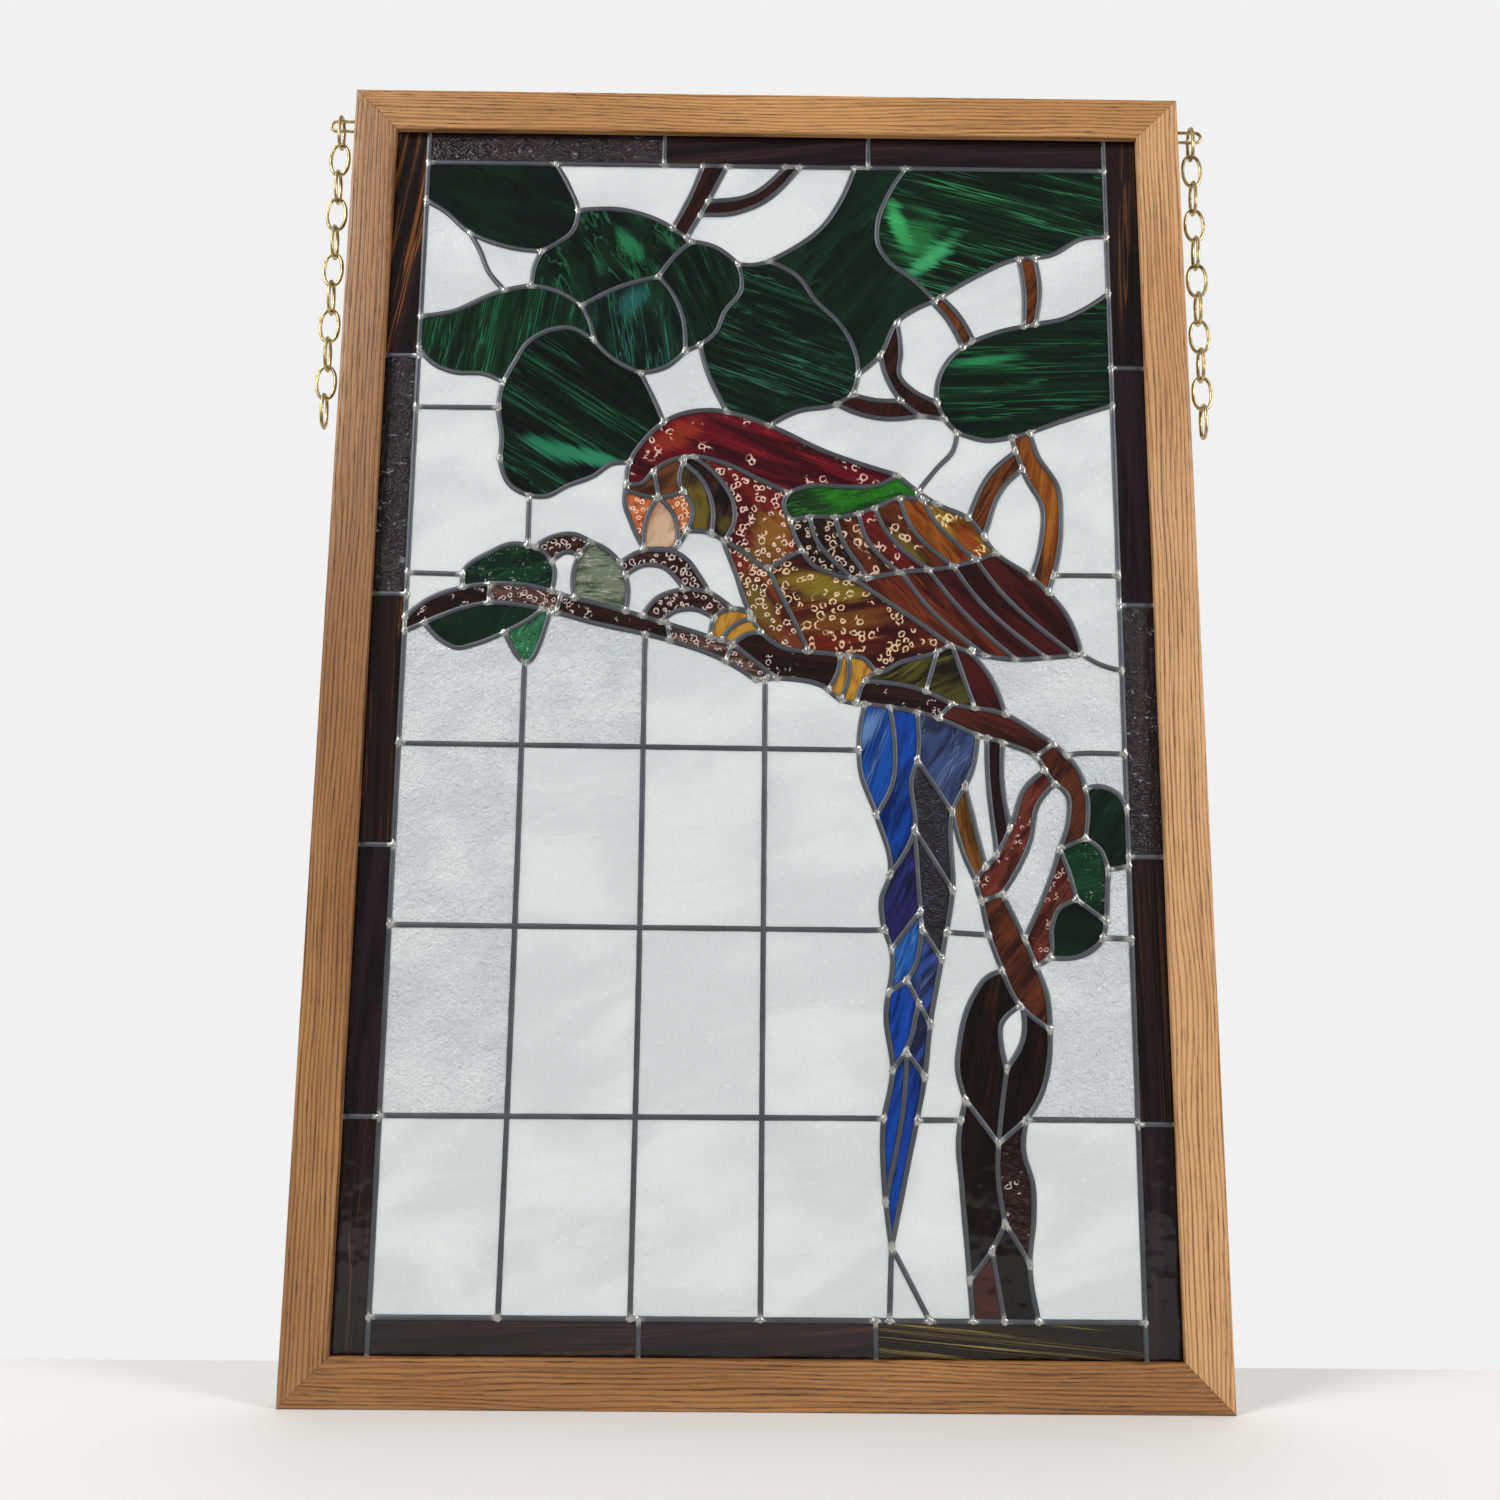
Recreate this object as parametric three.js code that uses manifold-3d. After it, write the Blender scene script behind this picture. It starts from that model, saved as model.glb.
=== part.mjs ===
// A leaded stained glass window in a mitred oak frame, with a hanging chain at each side.
// Millimetres, +Z up, the front looks along -Y.
// The origin is the centre of the top rail's back face.
import * as THREE from 'three';
import { mergeVertices } from 'three/addons/utils/BufferGeometryUtils.js';
import Module from 'manifold-3d';

const wasm = await Module();
wasm.setup();
const { Manifold, Mesh } = wasm;

// Oak frame: outside size, and the section of its four mitred members.
const FRAME_WIDTH = 746;
const FRAME_HEIGHT = 1127;
const MEMBER_FACE = 38;
const FRAME_DEPTH = 19;

// Leaded panel: came section, glass thickness and how far the panel tucks into the frame's groove.
const CAME_FACE = 4.4;
const CAME_DEPTH = 6;
const GLASS_THICKNESS = 3;
const PANEL_SETBACK = 7;
const PANEL_TUCK = 6;

// Wire staples in the outer sides of the stiles.
const STAPLE_WIRE = 2.8;
const STAPLE_REACH = 24.5;
const STAPLE_GAP = 10;
const STAPLE_BITE = 11;
const STAPLE_DROP = 27;
const STAPLE_SET_IN = 10.2;

// Oval chain links.
const LINK_LENGTH = 33;
const LINK_WIDTH = 19.6;
const LINK_WIRE = 3.2;
const LINKS_A_SIDE = 11;
const CHAIN_OFFSET = 13.5;

// How far a lead's end laps into the lead that it meets, as a share of the came's face.
const LEAD_LAP = 0.3;

// How far a curved lead may stray from its drawn line, so that it needs few sides.
const CHORD_TOLERANCE = 2;

// Clearance between neighbouring pieces, and the bite that joins two touching links of the chain solid.
const GAP = 0.3;
const LINK_BITE = 0.2;

// Places that follow from the sizes.
const top = MEMBER_FACE / 2;
const bottom = top - FRAME_HEIGHT;
const side = FRAME_WIDTH / 2;
const sightWidth = FRAME_WIDTH - 2 * MEMBER_FACE;
const sightHeight = FRAME_HEIGHT - 2 * MEMBER_FACE;
const panelFront = -FRAME_DEPTH + PANEL_SETBACK;
const panelBack = panelFront + CAME_DEPTH;
const panelMiddle = (panelFront + panelBack) / 2;
const glassFront = panelMiddle - GLASS_THICKNESS / 2;
const glassBack = panelMiddle + GLASS_THICKNESS / 2;

// The cartoon is the full-size drawing of the lead lines, seen from the front.
// Its points are whole millimetres from the lower left corner of the sight opening.
// The inner edge of its border is written as L, R, B and T. The border is equally wide all round.
const [L, R, B, T] = [28.5, 641.5, 28.5, 1022.5];
const SHEET_W = L + R;
const SHEET_H = B + T;

// The middle of the rim came, just outside the sheet at each side.
const RIM_L = CAME_FACE / 2 - PANEL_TUCK;
const RIM_R = SHEET_W - RIM_L;
const RIM_B = RIM_L;
const RIM_T = SHEET_H - RIM_L;

// Leads whose two sides are separate pieces of glass here. The came runs through between them.
const throughLeads = {
  borderLeft: [[L, RIM_B], [L, RIM_T]],
  borderRight: [[R, RIM_B], [R, RIM_T]],
  borderTop: [[L, T], [R, T]],
  borderBottom: [[L, B], [R, B]],

  // Upright leads of the pale background below the branch.
  columnOne: [[132, 559], [132, 335], [130, B]],
  columnTwo: [[234, 583], [235, 334], [234, B]],
  columnThree: [[337, 546], [337, B]],
  columnFour: [[441, 85], [439, B]],

  // Large leaves at the upper left.
  leafOneRight: [[144, T], [157, 999], [165, 977], [161, 957], [146, 944], [134, 937]],
  leafOneBelow: [[134, 937], [118, 938], [95, 943], [69, 954], [45, 975], [L, 985]],
  leafTwoLeft: [[134, 937], [128, 922], [126, 903]],
  leafTwoTop: [[165, 977], [206, 978], [234, 970], [268, 948]],
  leafTwoRight: [[268, 948], [254, 935], [239, 914]],
  leafTwoBelow: [[239, 914], [206, 904], [171, 885]],
  leafThreeTop: [[L, 873], [53, 877], [100, 898], [126, 903], [148, 899], [171, 885]],
  leafThreeRight: [[171, 885], [178, 871], [183, 852]],
  leafThreeBelow: [[L, 844], [43, 828], [60, 821], [89, 819], [104, 812]],
  leafFiveTop: [[104, 812], [113, 830], [124, 849], [142, 861], [161, 864], [183, 852]],
  leafFourLeft: [[183, 852], [199, 836], [225, 822]],
  leafFourBelow: [[225, 822], [247, 828], [264, 843]],
  leafSixLeft: [[239, 914], [251, 899], [261, 876], [264, 843]],
  leafSixTop: [[268, 948], [287, 944], [310, 927]],
  leafSixRight: [[310, 927], [313, 902], [298, 880], [291, 862], [264, 843]],
  leafFiveRight: [[225, 822], [235, 802], [247, 775]],
  leafFiveBelow: [[216, 739], [203, 738], [186, 726], [164, 717], [145, 707], [130, 708], [114, 717], [104, 741]],
  leafFiveLeft: [[104, 741], [105, 760], [101, 788], [104, 812]],

  // Large leaves at the upper right.
  leafEightLeft: [[277, 850], [284, 824], [302, 787]],
  leafSevenLeft: [[415, T], [402, 990], [388, 967], [338, 930]],
  leafSevenRight: [[461, T], [444, 994], [435, 966], [436, 946], [446, 930], [463, 917], [486, 894]],
  leafSevenBelow: [[486, 894], [452, 873], [437, 842], [417, 823]],
  leafEightTop: [[310, 927], [322, 926], [338, 930]],
  leafEightRight: [[338, 930], [364, 915], [380, 892], [399, 873], [410, 856], [417, 823], [412, 804]],
  leafEightBelow: [[412, 804], [398, 795], [364, 788], [339, 775]],
  leafNineBelow: [[R, 958], [620, 956], [590, 939], [559, 935], [527, 920], [486, 894]],
  leafTenTop: [[518, 855], [540, 864], [577, 873], [600, 878], [620, 888], [R, 903]],
  leafTenBelow: [[R, 797], [597, 782], [555, 767], [529, 763], [504, 770]],
  leafTenLeft: [[504, 770], [493, 783], [487, 798], [488, 818], [498, 838], [518, 855]],

  // Twigs that cross the pale glass between the leaves.
  twigBelowLeafEight: [[398, 795], [416, 787], [440, 782], [472, 785]],
  hookTwigRight: [[453, 872], [455, 843], [454, 822], [468, 807], [489, 798]],
  twigToLeafTen: [[472, 785], [494, 783]],
  twigForkLeft: [[555, 753], [533, 733], [513, 692]],
  twigStemLeft: [[552, 767], [555, 753]],
  twigStemRight: [[568, 771], [574, 750], [591, 721], [593, 690], [588, 650], [579, 624]],

  // Macaw: head, back, neck, breast and belly.
  headTop: [[215, 719], [217, 738], [229, 759], [252, 780], [286, 788], [319, 782], [340, 774], [386, 752], [451, 730]],
  wingBack: [[451, 730], [485, 704], [513, 691], [536, 660], [566, 639], [597, 603], [608, 571]],
  crownBelow: [[215, 719], [228, 720], [240, 733], [256, 742], [273, 745], [303, 738], [330, 725], [356, 713]],
  shoulderTop: [[356, 713], [373, 719], [410, 719], [435, 721], [451, 730]],
  shoulderLeft: [[356, 713], [352, 702], [358, 688]],
  shoulderBelow: [[358, 688], [373, 691], [405, 692], [431, 700], [452, 709], [485, 704]],
  neckRight: [[358, 688], [361, 676], [368, 661]],
  cheekRight: [[273, 745], [295, 726], [309, 699], [309, 685], [303, 672]],
  neckBelow: [[299, 670], [317, 659], [339, 645], [355, 654], [368, 661]],
  beakFront: [[215, 719], [214, 702], [220, 684], [231, 661]],
  beakBase: [[231, 661], [260, 664], [268, 677]],
  chin: [[268, 677], [286, 676], [299, 670]],
  breastLeft: [[299, 670], [310, 642], [322, 608], [333, 588], [348, 576], [373, 571]],
  bellyBelow: [[495, 578], [479, 570], [454, 563], [433, 554], [420, 566], [405, 568], [373, 571]],
  bellyRight: [[412, 636], [434, 621], [465, 600], [495, 578]],
  covertsBelow: [[368, 661], [376, 649], [391, 641], [412, 636], [452, 642], [499, 648], [536, 660]],
  primariesBelow: [[495, 578], [525, 569], [549, 566], [580, 568], [608, 571]],
  tailCovertsRight: [[512, 572], [530, 548], [541, 518]],

  // Feet that grip the branch.
  leftFootOuter: [[290, 583], [295, 602], [310, 608], [325, 605]],
  leftFootInner: [[308, 576], [318, 584], [333, 588]],
  rightFootLeft: [[401, 568], [399, 554], [393, 540]],
  rightFootRight: [[433, 554], [422, 546], [415, 530]],

  // Main branch, and where it turns down at the right.
  branchTop: [[L, 597], [47, 613], [72, 623], [101, 628], [132, 627], [168, 617], [216, 605], [253, 594], [309, 577]],
  branchBelow: [[L, 585], [54, 597], [76, 606], [99, 611], [130, 609], [191, 594], [253, 580], [303, 562], [329, 546]],
  branchBelowFeet: [[329, 546], [358, 547], [386, 541], [402, 529], [422, 526]],
  branchTopRight: [[422, 546], [472, 538], [496, 527], [541, 518], [566, 503], [587, 488], [602, 470], [608, 450], [606, 413]],
  branchBelowRight: [[422, 526], [482, 515], [515, 501], [544, 492], [566, 482], [578, 463], [592, 449], [592, 428], [584, 404]],

  // Leaves and small arcs above and below the left part of the branch.
  lowLeafLeft: [[77, 625], [76, 636], [101, 657], [114, 663], [137, 661]],
  firstArcTop: [[137, 661], [151, 670], [170, 673], [186, 666]],
  rippleLeafTop: [[186, 666], [200, 659], [211, 648]],
  secondArcTop: [[211, 648], [231, 659], [252, 660], [268, 652], [280, 636], [288, 623]],
  thirdArcTop: [[288, 623], [309, 609]],
  hangingLeafBelow: [[45, 593], [64, 575], [74, 571], [88, 574], [114, 585]],
  hangingLeafTip: [[114, 585], [132, 559], [152, 604]],

  // Long tail.
  tailLeft: [
    [422, 527], [417, 498], [418, 468], [431, 431], [442, 381], [435, 361], [436, 341], [443, 318],
    [438, 263], [443, 222], [435, 178], [435, 142], [441, 85],
  ],
  tailRight: [
    [517, 500], [513, 473], [495, 434], [494, 369], [484, 312], [474, 259], [469, 217], [456, 154], [441, 85],
  ],

  // Trunk below the branch, and the two arms that run down into it.
  trunkTopLeft: [[518, 360], [524, 331], [534, 303]],
  trunkTopRight: [[535, 366], [553, 329]],
  trunkBelowVine: [[562, 307], [570, 284], [572, 256]],
  trunkMiddleLeft: [[534, 303], [522, 298], [509, 281], [498, 246], [496, 222], [502, 199]],
  trunkMiddleRight: [[572, 256], [570, 227], [563, 203], [551, 184]],
  trunkLowLeft: [[502, 199], [496, 170], [498, 130], [503, 60], [505, B]],
  trunkLowRight: [[551, 184], [548, 160], [555, 133], [555, 107], [551, 72], [557, B]],
  amberLeft: [[495, 434], [503, 401], [514, 376]],
  innerArmLeft: [[574, 471], [555, 453], [546, 428], [531, 398], [514, 376], [518, 360]],
  innerArmRight: [[583, 461], [566, 440], [560, 412], [544, 379], [535, 366]],
  outerArmLeft: [[584, 404], [578, 385], [553, 329]],
  outerArmRight: [[584, 404], [592, 382], [597, 362]],
  outerArmFoot: [[597, 362], [582, 354], [576, 340], [573, 314], [562, 307]],

  // Three leaves at the lower right.
  sideLeafTop: [[607, 455], [619, 457], [635, 450], [R, 438]],
  sideLeafFoot: [[R, 390], [624, 387]],
  sideLeafUpperEdge: [[584, 404], [606, 413]],
  sideLeafRight: [[624, 387], [621, 344]],
  sideLeafBelow: [[621, 344], [617, 329], [600, 316], [573, 314]],
};

// Leads whose two sides are one sheet here. They lie on its front.
const surfaceLeads = {
  leftStripOne: [[RIM_L, 836], [L, 836]],
  leftStripTwo: [[RIM_L, 618], [L, 618]],
  leftStripThree: [[RIM_L, 402], [L, 402]],
  leftStripFour: [[RIM_L, 182], [L, 182]],
  rightStripOne: [[R, 832], [RIM_R, 832]],
  rightStripTwo: [[R, 615], [RIM_R, 615]],
  rightStripThree: [[R, 398], [RIM_R, 398]],
  rightStripFour: [[R, 181], [RIM_R, 181]],
  topStripOne: [[242, T], [242, RIM_T]],
  topStripTwo: [[427, T], [427, RIM_T]],
  bottomStripOne: [[241, RIM_B], [241, B]],
  bottomStripTwo: [[428, RIM_B], [428, B]],

  rowOne: [[L, 788], [101, 788]],
  rowTwoLeft: [[L, 637], [76, 636]],
  rowTwoRight: [[584, 641], [R, 641]],
  rowThreeLeft: [[L, 488], [417, 486]],
  rowThreeRight: [[594, 486], [R, 485]],
  rowFourLeft: [[L, 336], [436, 335]],
  rowFourMiddle: [[488, 334], [524, 332]],
  rowFourRight: [[619, 330], [R, 330]],
  rowFiveLeft: [[L, 183], [435, 184]],
  rowFiveMiddle: [[462, 183], [499, 183]],
  rowFiveRight: [[551, 184], [R, 184]],
  columnOneUpper: [[131, 708], [131, 662]],
  tailTipFork: [[441, 85], [471, B]],
  wingTip: [[608, 571], [624, 562], [R, 557]],

  // Twigs at the top and between the leaves.
  topTwigLeft: [[277, T], [268, 997], [251, 961]],
  topTwigRight: [[299, T], [283, 989], [263, 951]],
  rightTwigLeft: [[562, 936], [566, 904], [565, 871]],
  rightTwigRight: [[576, 937], [580, 904], [575, 873]],

  // Macaw: face, beak, wing and tail feathers.
  faceBack: [[268, 738], [284, 718], [290, 700], [290, 676]],
  beakTop: [[215, 714], [244, 707], [265, 713]],
  beakMiddle: [[242, 707], [234, 690], [231, 661]],
  mandibleLeft: [[244, 707], [257, 691], [261, 664]],
  mandibleRight: [[265, 713], [273, 695], [268, 677]],
  breastRight: [[339, 645], [346, 629], [358, 605], [374, 571]],
  covertOne: [[375, 691], [380, 671], [392, 655], [412, 636]],
  covertTwo: [[397, 692], [402, 673], [425, 639]],
  covertThree: [[417, 695], [423, 674], [452, 642]],
  covertFour: [[431, 700], [439, 682], [477, 645]],
  covertFive: [[453, 709], [460, 688], [499, 648]],
  covertSix: [[473, 706], [483, 689], [518, 655]],
  primaryOne: [[454, 642], [471, 618], [525, 569]],
  primaryTwo: [[477, 645], [499, 616], [551, 566]],
  primaryThree: [[499, 648], [517, 622], [577, 568]],
  primaryFour: [[518, 655], [535, 631], [601, 571]],
  tailCovertOne: [[484, 572], [474, 538]],
  tailCovertTwo: [[497, 577], [515, 523]],
  tailOne: [[443, 523], [447, 490], [445, 459], [431, 431]],
  tailTwo: [[466, 518], [466, 479], [461, 462], [463, 419], [442, 381]],
  tailThree: [[466, 478], [495, 434]],
  tailFour: [[463, 419], [494, 369]],

  // Branch, trunk and vine joints.
  vineLeft: [[525, 498], [525, 469], [532, 398]],
  vineRight: [[538, 494], [537, 460], [543, 420]],
  trunkCross: [[534, 303], [548, 275], [572, 256]],
  diamondLeft: [[548, 275], [532, 259], [532, 242], [536, 224]],
  diamondRight: [[551, 273], [550, 249], [536, 224]],
};

// The glass sheets, each named by a point of the cartoon that lies inside it.
const GLASS_SHEETS = {
  border_left: { at: [14, 500], look: 'border' },
  border_right: { at: [656, 500], look: 'border' },
  border_top: { at: [335, 1037], look: 'border' },
  border_bottom: { at: [335, 14], look: 'border' },
  leaf_upper_left: { at: [90, 985], look: 'leaf' },
  leaf_streaked_left: { at: [190, 930], look: 'leaf' },
  leaf_long_left: { at: [75, 850], look: 'leaf' },
  leaf_small_centre: { at: [215, 870], look: 'leaf' },
  leaf_large_left: { at: [160, 790], look: 'leaf' },
  leaf_narrow_centre: { at: [290, 900], look: 'leaf' },
  leaf_tall_centre: { at: [410, 920], look: 'leaf' },
  leaf_large_centre: { at: [350, 850], look: 'leaf' },
  leaf_upper_right: { at: [540, 980], look: 'leaf' },
  leaf_right: { at: [570, 820], look: 'leaf' },
  sky_top_with_twigs: { at: [230, 1000], look: 'sky' },
  sky_left_strip: { at: [60, 920], look: 'sky' },
  sky_left: { at: [60, 720], look: 'sky' },
  sky_centre_gap: { at: [260, 805], look: 'sky' },
  sky_above_wing: { at: [420, 765], look: 'sky' },
  sky_right_with_twigs: { at: [540, 895], look: 'sky' },
  twig_hooked: { at: [447, 815], look: 'branch' },
  twig_forked: { at: [555, 690], look: 'sky' },
  sky_right: { at: [620, 700], look: 'sky' },
  sky_lower_right: { at: [600, 250], look: 'sky' },
  sky_column_1: { at: [80, 250], look: 'sky' },
  sky_column_2: { at: [180, 250], look: 'sky' },
  sky_column_3: { at: [285, 250], look: 'sky' },
  sky_column_4: { at: [385, 250], look: 'sky' },
  sky_beside_tail: { at: [480, 140], look: 'sky' },
  sky_with_vine: { at: [518, 420], look: 'sky' },
  sky_between_arms: { at: [572, 420], look: 'sky' },
  sky_below_beak: { at: [280, 650], look: 'sky' },
  arcs_above_branch: { at: [195, 640], look: 'ripple' },
  leaves_below_branch: { at: [90, 590], look: 'leaf' },
  macaw_crown: { at: [290, 765], look: 'crown' },
  macaw_head: { at: [280, 725], look: 'beak' },
  macaw_neck: { at: [330, 690], look: 'breast' },
  macaw_breast: { at: [380, 610], look: 'breast' },
  wing_shoulder: { at: [390, 705], look: 'shoulder' },
  wing_coverts: { at: [400, 670], look: 'wing' },
  wing_primaries: { at: [480, 620], look: 'wing' },
  tail_coverts: { at: [490, 555], look: 'wing' },
  tail_feathers: { at: [425, 480], look: 'tail' },
  foot_left: { at: [302, 595], look: 'foot' },
  foot_right: { at: [403, 550], look: 'foot' },
  branch: { at: [200, 602], look: 'branch' },
  branch_right: { at: [556, 498], look: 'branch' },
  trunk: { at: [515, 150], look: 'branch' },
  leaves_lower_right: { at: [615, 430], look: 'leaf' },
};

// Looks: colour, roughness, metalness.
const LOOKS = {
  oak: [0x7a4a24, 0.55, 0],
  lead: [0x4d4f53, 0.5, 0.85],
  brass: [0xa58f62, 0.4, 0.9],
  border: [0x2a1c1e, 0.15, 0],
  leaf: [0x0f3a26, 0.12, 0],
  sky: [0xc3cacb, 0.2, 0],
  ripple: [0x6f7d70, 0.15, 0],
  crown: [0x6a1a22, 0.15, 0],
  beak: [0xa8612f, 0.18, 0],
  breast: [0x6e4a22, 0.2, 0],
  shoulder: [0x2f7a22, 0.18, 0],
  wing: [0x4d1f1c, 0.15, 0],
  tail: [0x1c3c86, 0.12, 0],
  foot: [0xc98a25, 0.25, 0],
  branch: [0x2e1715, 0.15, 0],
};

// A solid for cutting and joining, from a closed geometry.
function solidOf(geometry) {
  const bare = geometry.index ? geometry.toNonIndexed() : geometry.clone();
  bare.deleteAttribute('normal');
  bare.deleteAttribute('uv');
  const merged = mergeVertices(bare, 1e-5);
  return new Manifold(new Mesh({
    numProp: 3,
    vertProperties: Float32Array.from(merged.attributes.position.array),
    triVerts: Uint32Array.from(merged.index.array),
  }));
}

function geometryOf(solid) {
  const mesh = solid.getMesh();
  const geometry = new THREE.BufferGeometry();
  geometry.setAttribute('position', new THREE.BufferAttribute(Float32Array.from(mesh.vertProperties), 3));
  geometry.setIndex(new THREE.BufferAttribute(Uint32Array.from(mesh.triVerts), 1));
  return geometry;
}

function box(low, high) {
  const geometry = new THREE.BoxGeometry(high[0] - low[0], high[1] - low[1], high[2] - low[2]);
  geometry.translate((low[0] + high[0]) / 2, (low[1] + high[1]) / 2, (low[2] + high[2]) / 2);
  return solidOf(geometry);
}

// An outline in the window's plane, drawn as [x, z], made solid from y = front to y = back.
function plate(outline, front, back) {
  const shape = new THREE.Shape(outline.map(([x, z]) => new THREE.Vector2(x, z)));
  const geometry = new THREE.ExtrudeGeometry(shape, { depth: back - front, bevelEnabled: false });
  const p = geometry.attributes.position;
  for (let i = 0; i < p.count; i += 1) {
    const face = p.getZ(i) > 0 ? front : back;
    p.setXYZ(i, p.getX(i), face, p.getY(i));
  }
  return solidOf(geometry);
}

// A cartoon point set out on the panel, which fills the sight opening.
function onPanel([x, y]) {
  const across = (x / SHEET_W - 0.5) * sightWidth;
  const up = bottom + MEMBER_FACE + (y / SHEET_H) * sightHeight;
  return [across, up];
}

// Leaves out the points of a line that lie closer to its chord than the tolerance.
function coarse(points) {
  const first = points[0];
  const last = points[points.length - 1];
  const chord = last.clone().sub(first).normalize();
  const distances = points.map((point) => Math.abs(point.clone().sub(first).cross(chord)));
  const farthest = distances.indexOf(Math.max(...distances));
  if (distances[farthest] < CHORD_TOLERANCE) return [first, last];
  const head = coarse(points.slice(0, farthest + 1));
  return head.slice(0, -1).concat(coarse(points.slice(farthest)));
}

// The outline of a lead: its line moved half the face to each side, with mitred bends and square ends.
function leadOutline(line, face) {
  const drawn = coarse(line.map((point) => new THREE.Vector2(...point)));
  const points = drawn.map((point) => new THREE.Vector2(...onPanel(point.toArray())));
  const last = points.length - 1;
  const start = points[0].clone().sub(points[1]).setLength(CAME_FACE * LEAD_LAP);
  const end = points[last].clone().sub(points[last - 1]).setLength(CAME_FACE * LEAD_LAP);
  points[0].add(start);
  points[last].add(end);
  const left = [];
  const right = [];
  points.forEach((point, i) => {
    const before = points[Math.max(i - 1, 0)];
    const after = points[Math.min(i + 1, last)];
    const along = (i > 0 ? point.clone().sub(before) : after.clone().sub(point)).normalize();
    const onward = (i < last ? after.clone().sub(point) : along.clone()).normalize();
    const mitre = along.clone().add(onward).normalize();
    const reach = face / 2 / mitre.dot(along);
    left.push([point.x - mitre.y * reach, point.y + mitre.x * reach]);
    right.push([point.x + mitre.y * reach, point.y - mitre.x * reach]);
  });
  return left.concat(right.reverse());
}

// The came round the panel's outer edge, in the frame's groove.
const panelLow = [-sightWidth / 2 - PANEL_TUCK, bottom + MEMBER_FACE - PANEL_TUCK];
const panelHigh = [sightWidth / 2 + PANEL_TUCK, top - MEMBER_FACE + PANEL_TUCK];

function rim(face, front, back) {
  const [x0, z0] = panelLow;
  const [x1, z1] = panelHigh;
  const outside = box([x0, front, z0], [x1, back, z1]);
  const inside = box([x0 + face, front - 1, z0 + face], [x1 - face, back + 1, z1 - face]);
  return outside.subtract(inside);
}

const through = Object.values(throughLeads);
const surface = Object.values(surfaceLeads);
const throughBars = through.map((line) => plate(leadOutline(line, CAME_FACE), panelFront, panelBack));
const frontStrips = surface.map((line) => plate(leadOutline(line, CAME_FACE), panelFront, glassFront - GAP));
const leadRim = rim(CAME_FACE, panelFront, panelBack);
const panelArea = box([panelLow[0], panelFront, panelLow[1]], [panelHigh[0], panelBack, panelHigh[1]]);
const leadwork = Manifold.union([leadRim, ...throughBars, ...frontStrips]).intersect(panelArea);

// The whole sheet of glass, cut apart along every through lead with a clearance each side.
const leadCuts = through.map((line) => plate(leadOutline(line, CAME_FACE + 2 * GAP), panelFront, panelBack));
const rimCut = CAME_FACE + GAP;
const glassArea = box(
  [panelLow[0] + rimCut, glassFront, panelLow[1] + rimCut],
  [panelHigh[0] - rimCut, glassBack, panelHigh[1] - rimCut],
);
const glassPieces = glassArea.subtract(Manifold.union(leadCuts)).decompose();

function isInTriangle([x, z], [a, b, c]) {
  const turn = (p, q) => (q[0] - p[0]) * (z - p[1]) - (q[1] - p[1]) * (x - p[0]);
  const turns = [turn(a, b), turn(b, c), turn(c, a)];
  return turns.every((t) => t >= 0) || turns.every((t) => t <= 0);
}

// True where the point of the cartoon lies on one of the solid's triangles, seen from the front.
function covers(solid, cartoonPoint) {
  const place = onPanel(cartoonPoint);
  const { vertProperties: v, triVerts } = solid.getMesh();
  for (let i = 0; i < triVerts.length; i += 3) {
    const corners = [0, 1, 2].map((k) => [v[3 * triVerts[i + k]], v[3 * triVerts[i + k] + 2]]);
    if (isInTriangle(place, corners)) return true;
  }
  return false;
}

// One frame member: a mitred board, grooved for the panel.
const groove = box(
  [panelLow[0] - GAP, panelFront - GAP, panelLow[1] - GAP],
  [panelHigh[0] + GAP, panelBack + GAP, panelHigh[1] + GAP],
);
const mitreEase = (GAP / 2) * Math.SQRT2;

function member(outline) {
  return plate(outline, -FRAME_DEPTH, 0).subtract(groove);
}

function rail(outerEdge, innerEdge) {
  return member([
    [-side + mitreEase, outerEdge],
    [side - mitreEase, outerEdge],
    [side - MEMBER_FACE - mitreEase, innerEdge],
    [-side + MEMBER_FACE + mitreEase, innerEdge],
  ]);
}

// Stiles have a pair of holes for the staple in their outer side.
function stile(hand) {
  const outer = hand * side;
  const inner = hand * (side - MEMBER_FACE);
  const board = member([
    [outer, bottom + mitreEase],
    [outer, top - mitreEase],
    [inner, top - MEMBER_FACE - mitreEase],
    [inner, bottom + MEMBER_FACE + mitreEase],
  ]);
  return board.subtract(solidOf(stapleShape(hand, STAPLE_WIRE / 2 + GAP, STAPLE_BITE + GAP)));
}

// A U of wire lying on its side, with both legs driven into the stile.
const STAPLE_SIDES = 6;
const STAPLE_BEND_STEPS = 4;

function stapleShape(hand, wireRadius, bite) {
  const upper = top - STAPLE_DROP;
  const bend = STAPLE_GAP / 2;
  const straight = STAPLE_REACH - STAPLE_WIRE / 2 - bend;
  const at = (out, down) => new THREE.Vector3(hand * (side + out), -STAPLE_SET_IN, upper - down);
  const points = [at(-bite, 0)];
  for (let i = 0; i <= STAPLE_BEND_STEPS; i += 1) {
    const angle = (Math.PI * i) / STAPLE_BEND_STEPS;
    points.push(at(straight + bend * Math.sin(angle), bend - bend * Math.cos(angle)));
  }
  points.push(at(-bite, STAPLE_GAP));
  return wire(points, wireRadius, STAPLE_SIDES);
}

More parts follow.
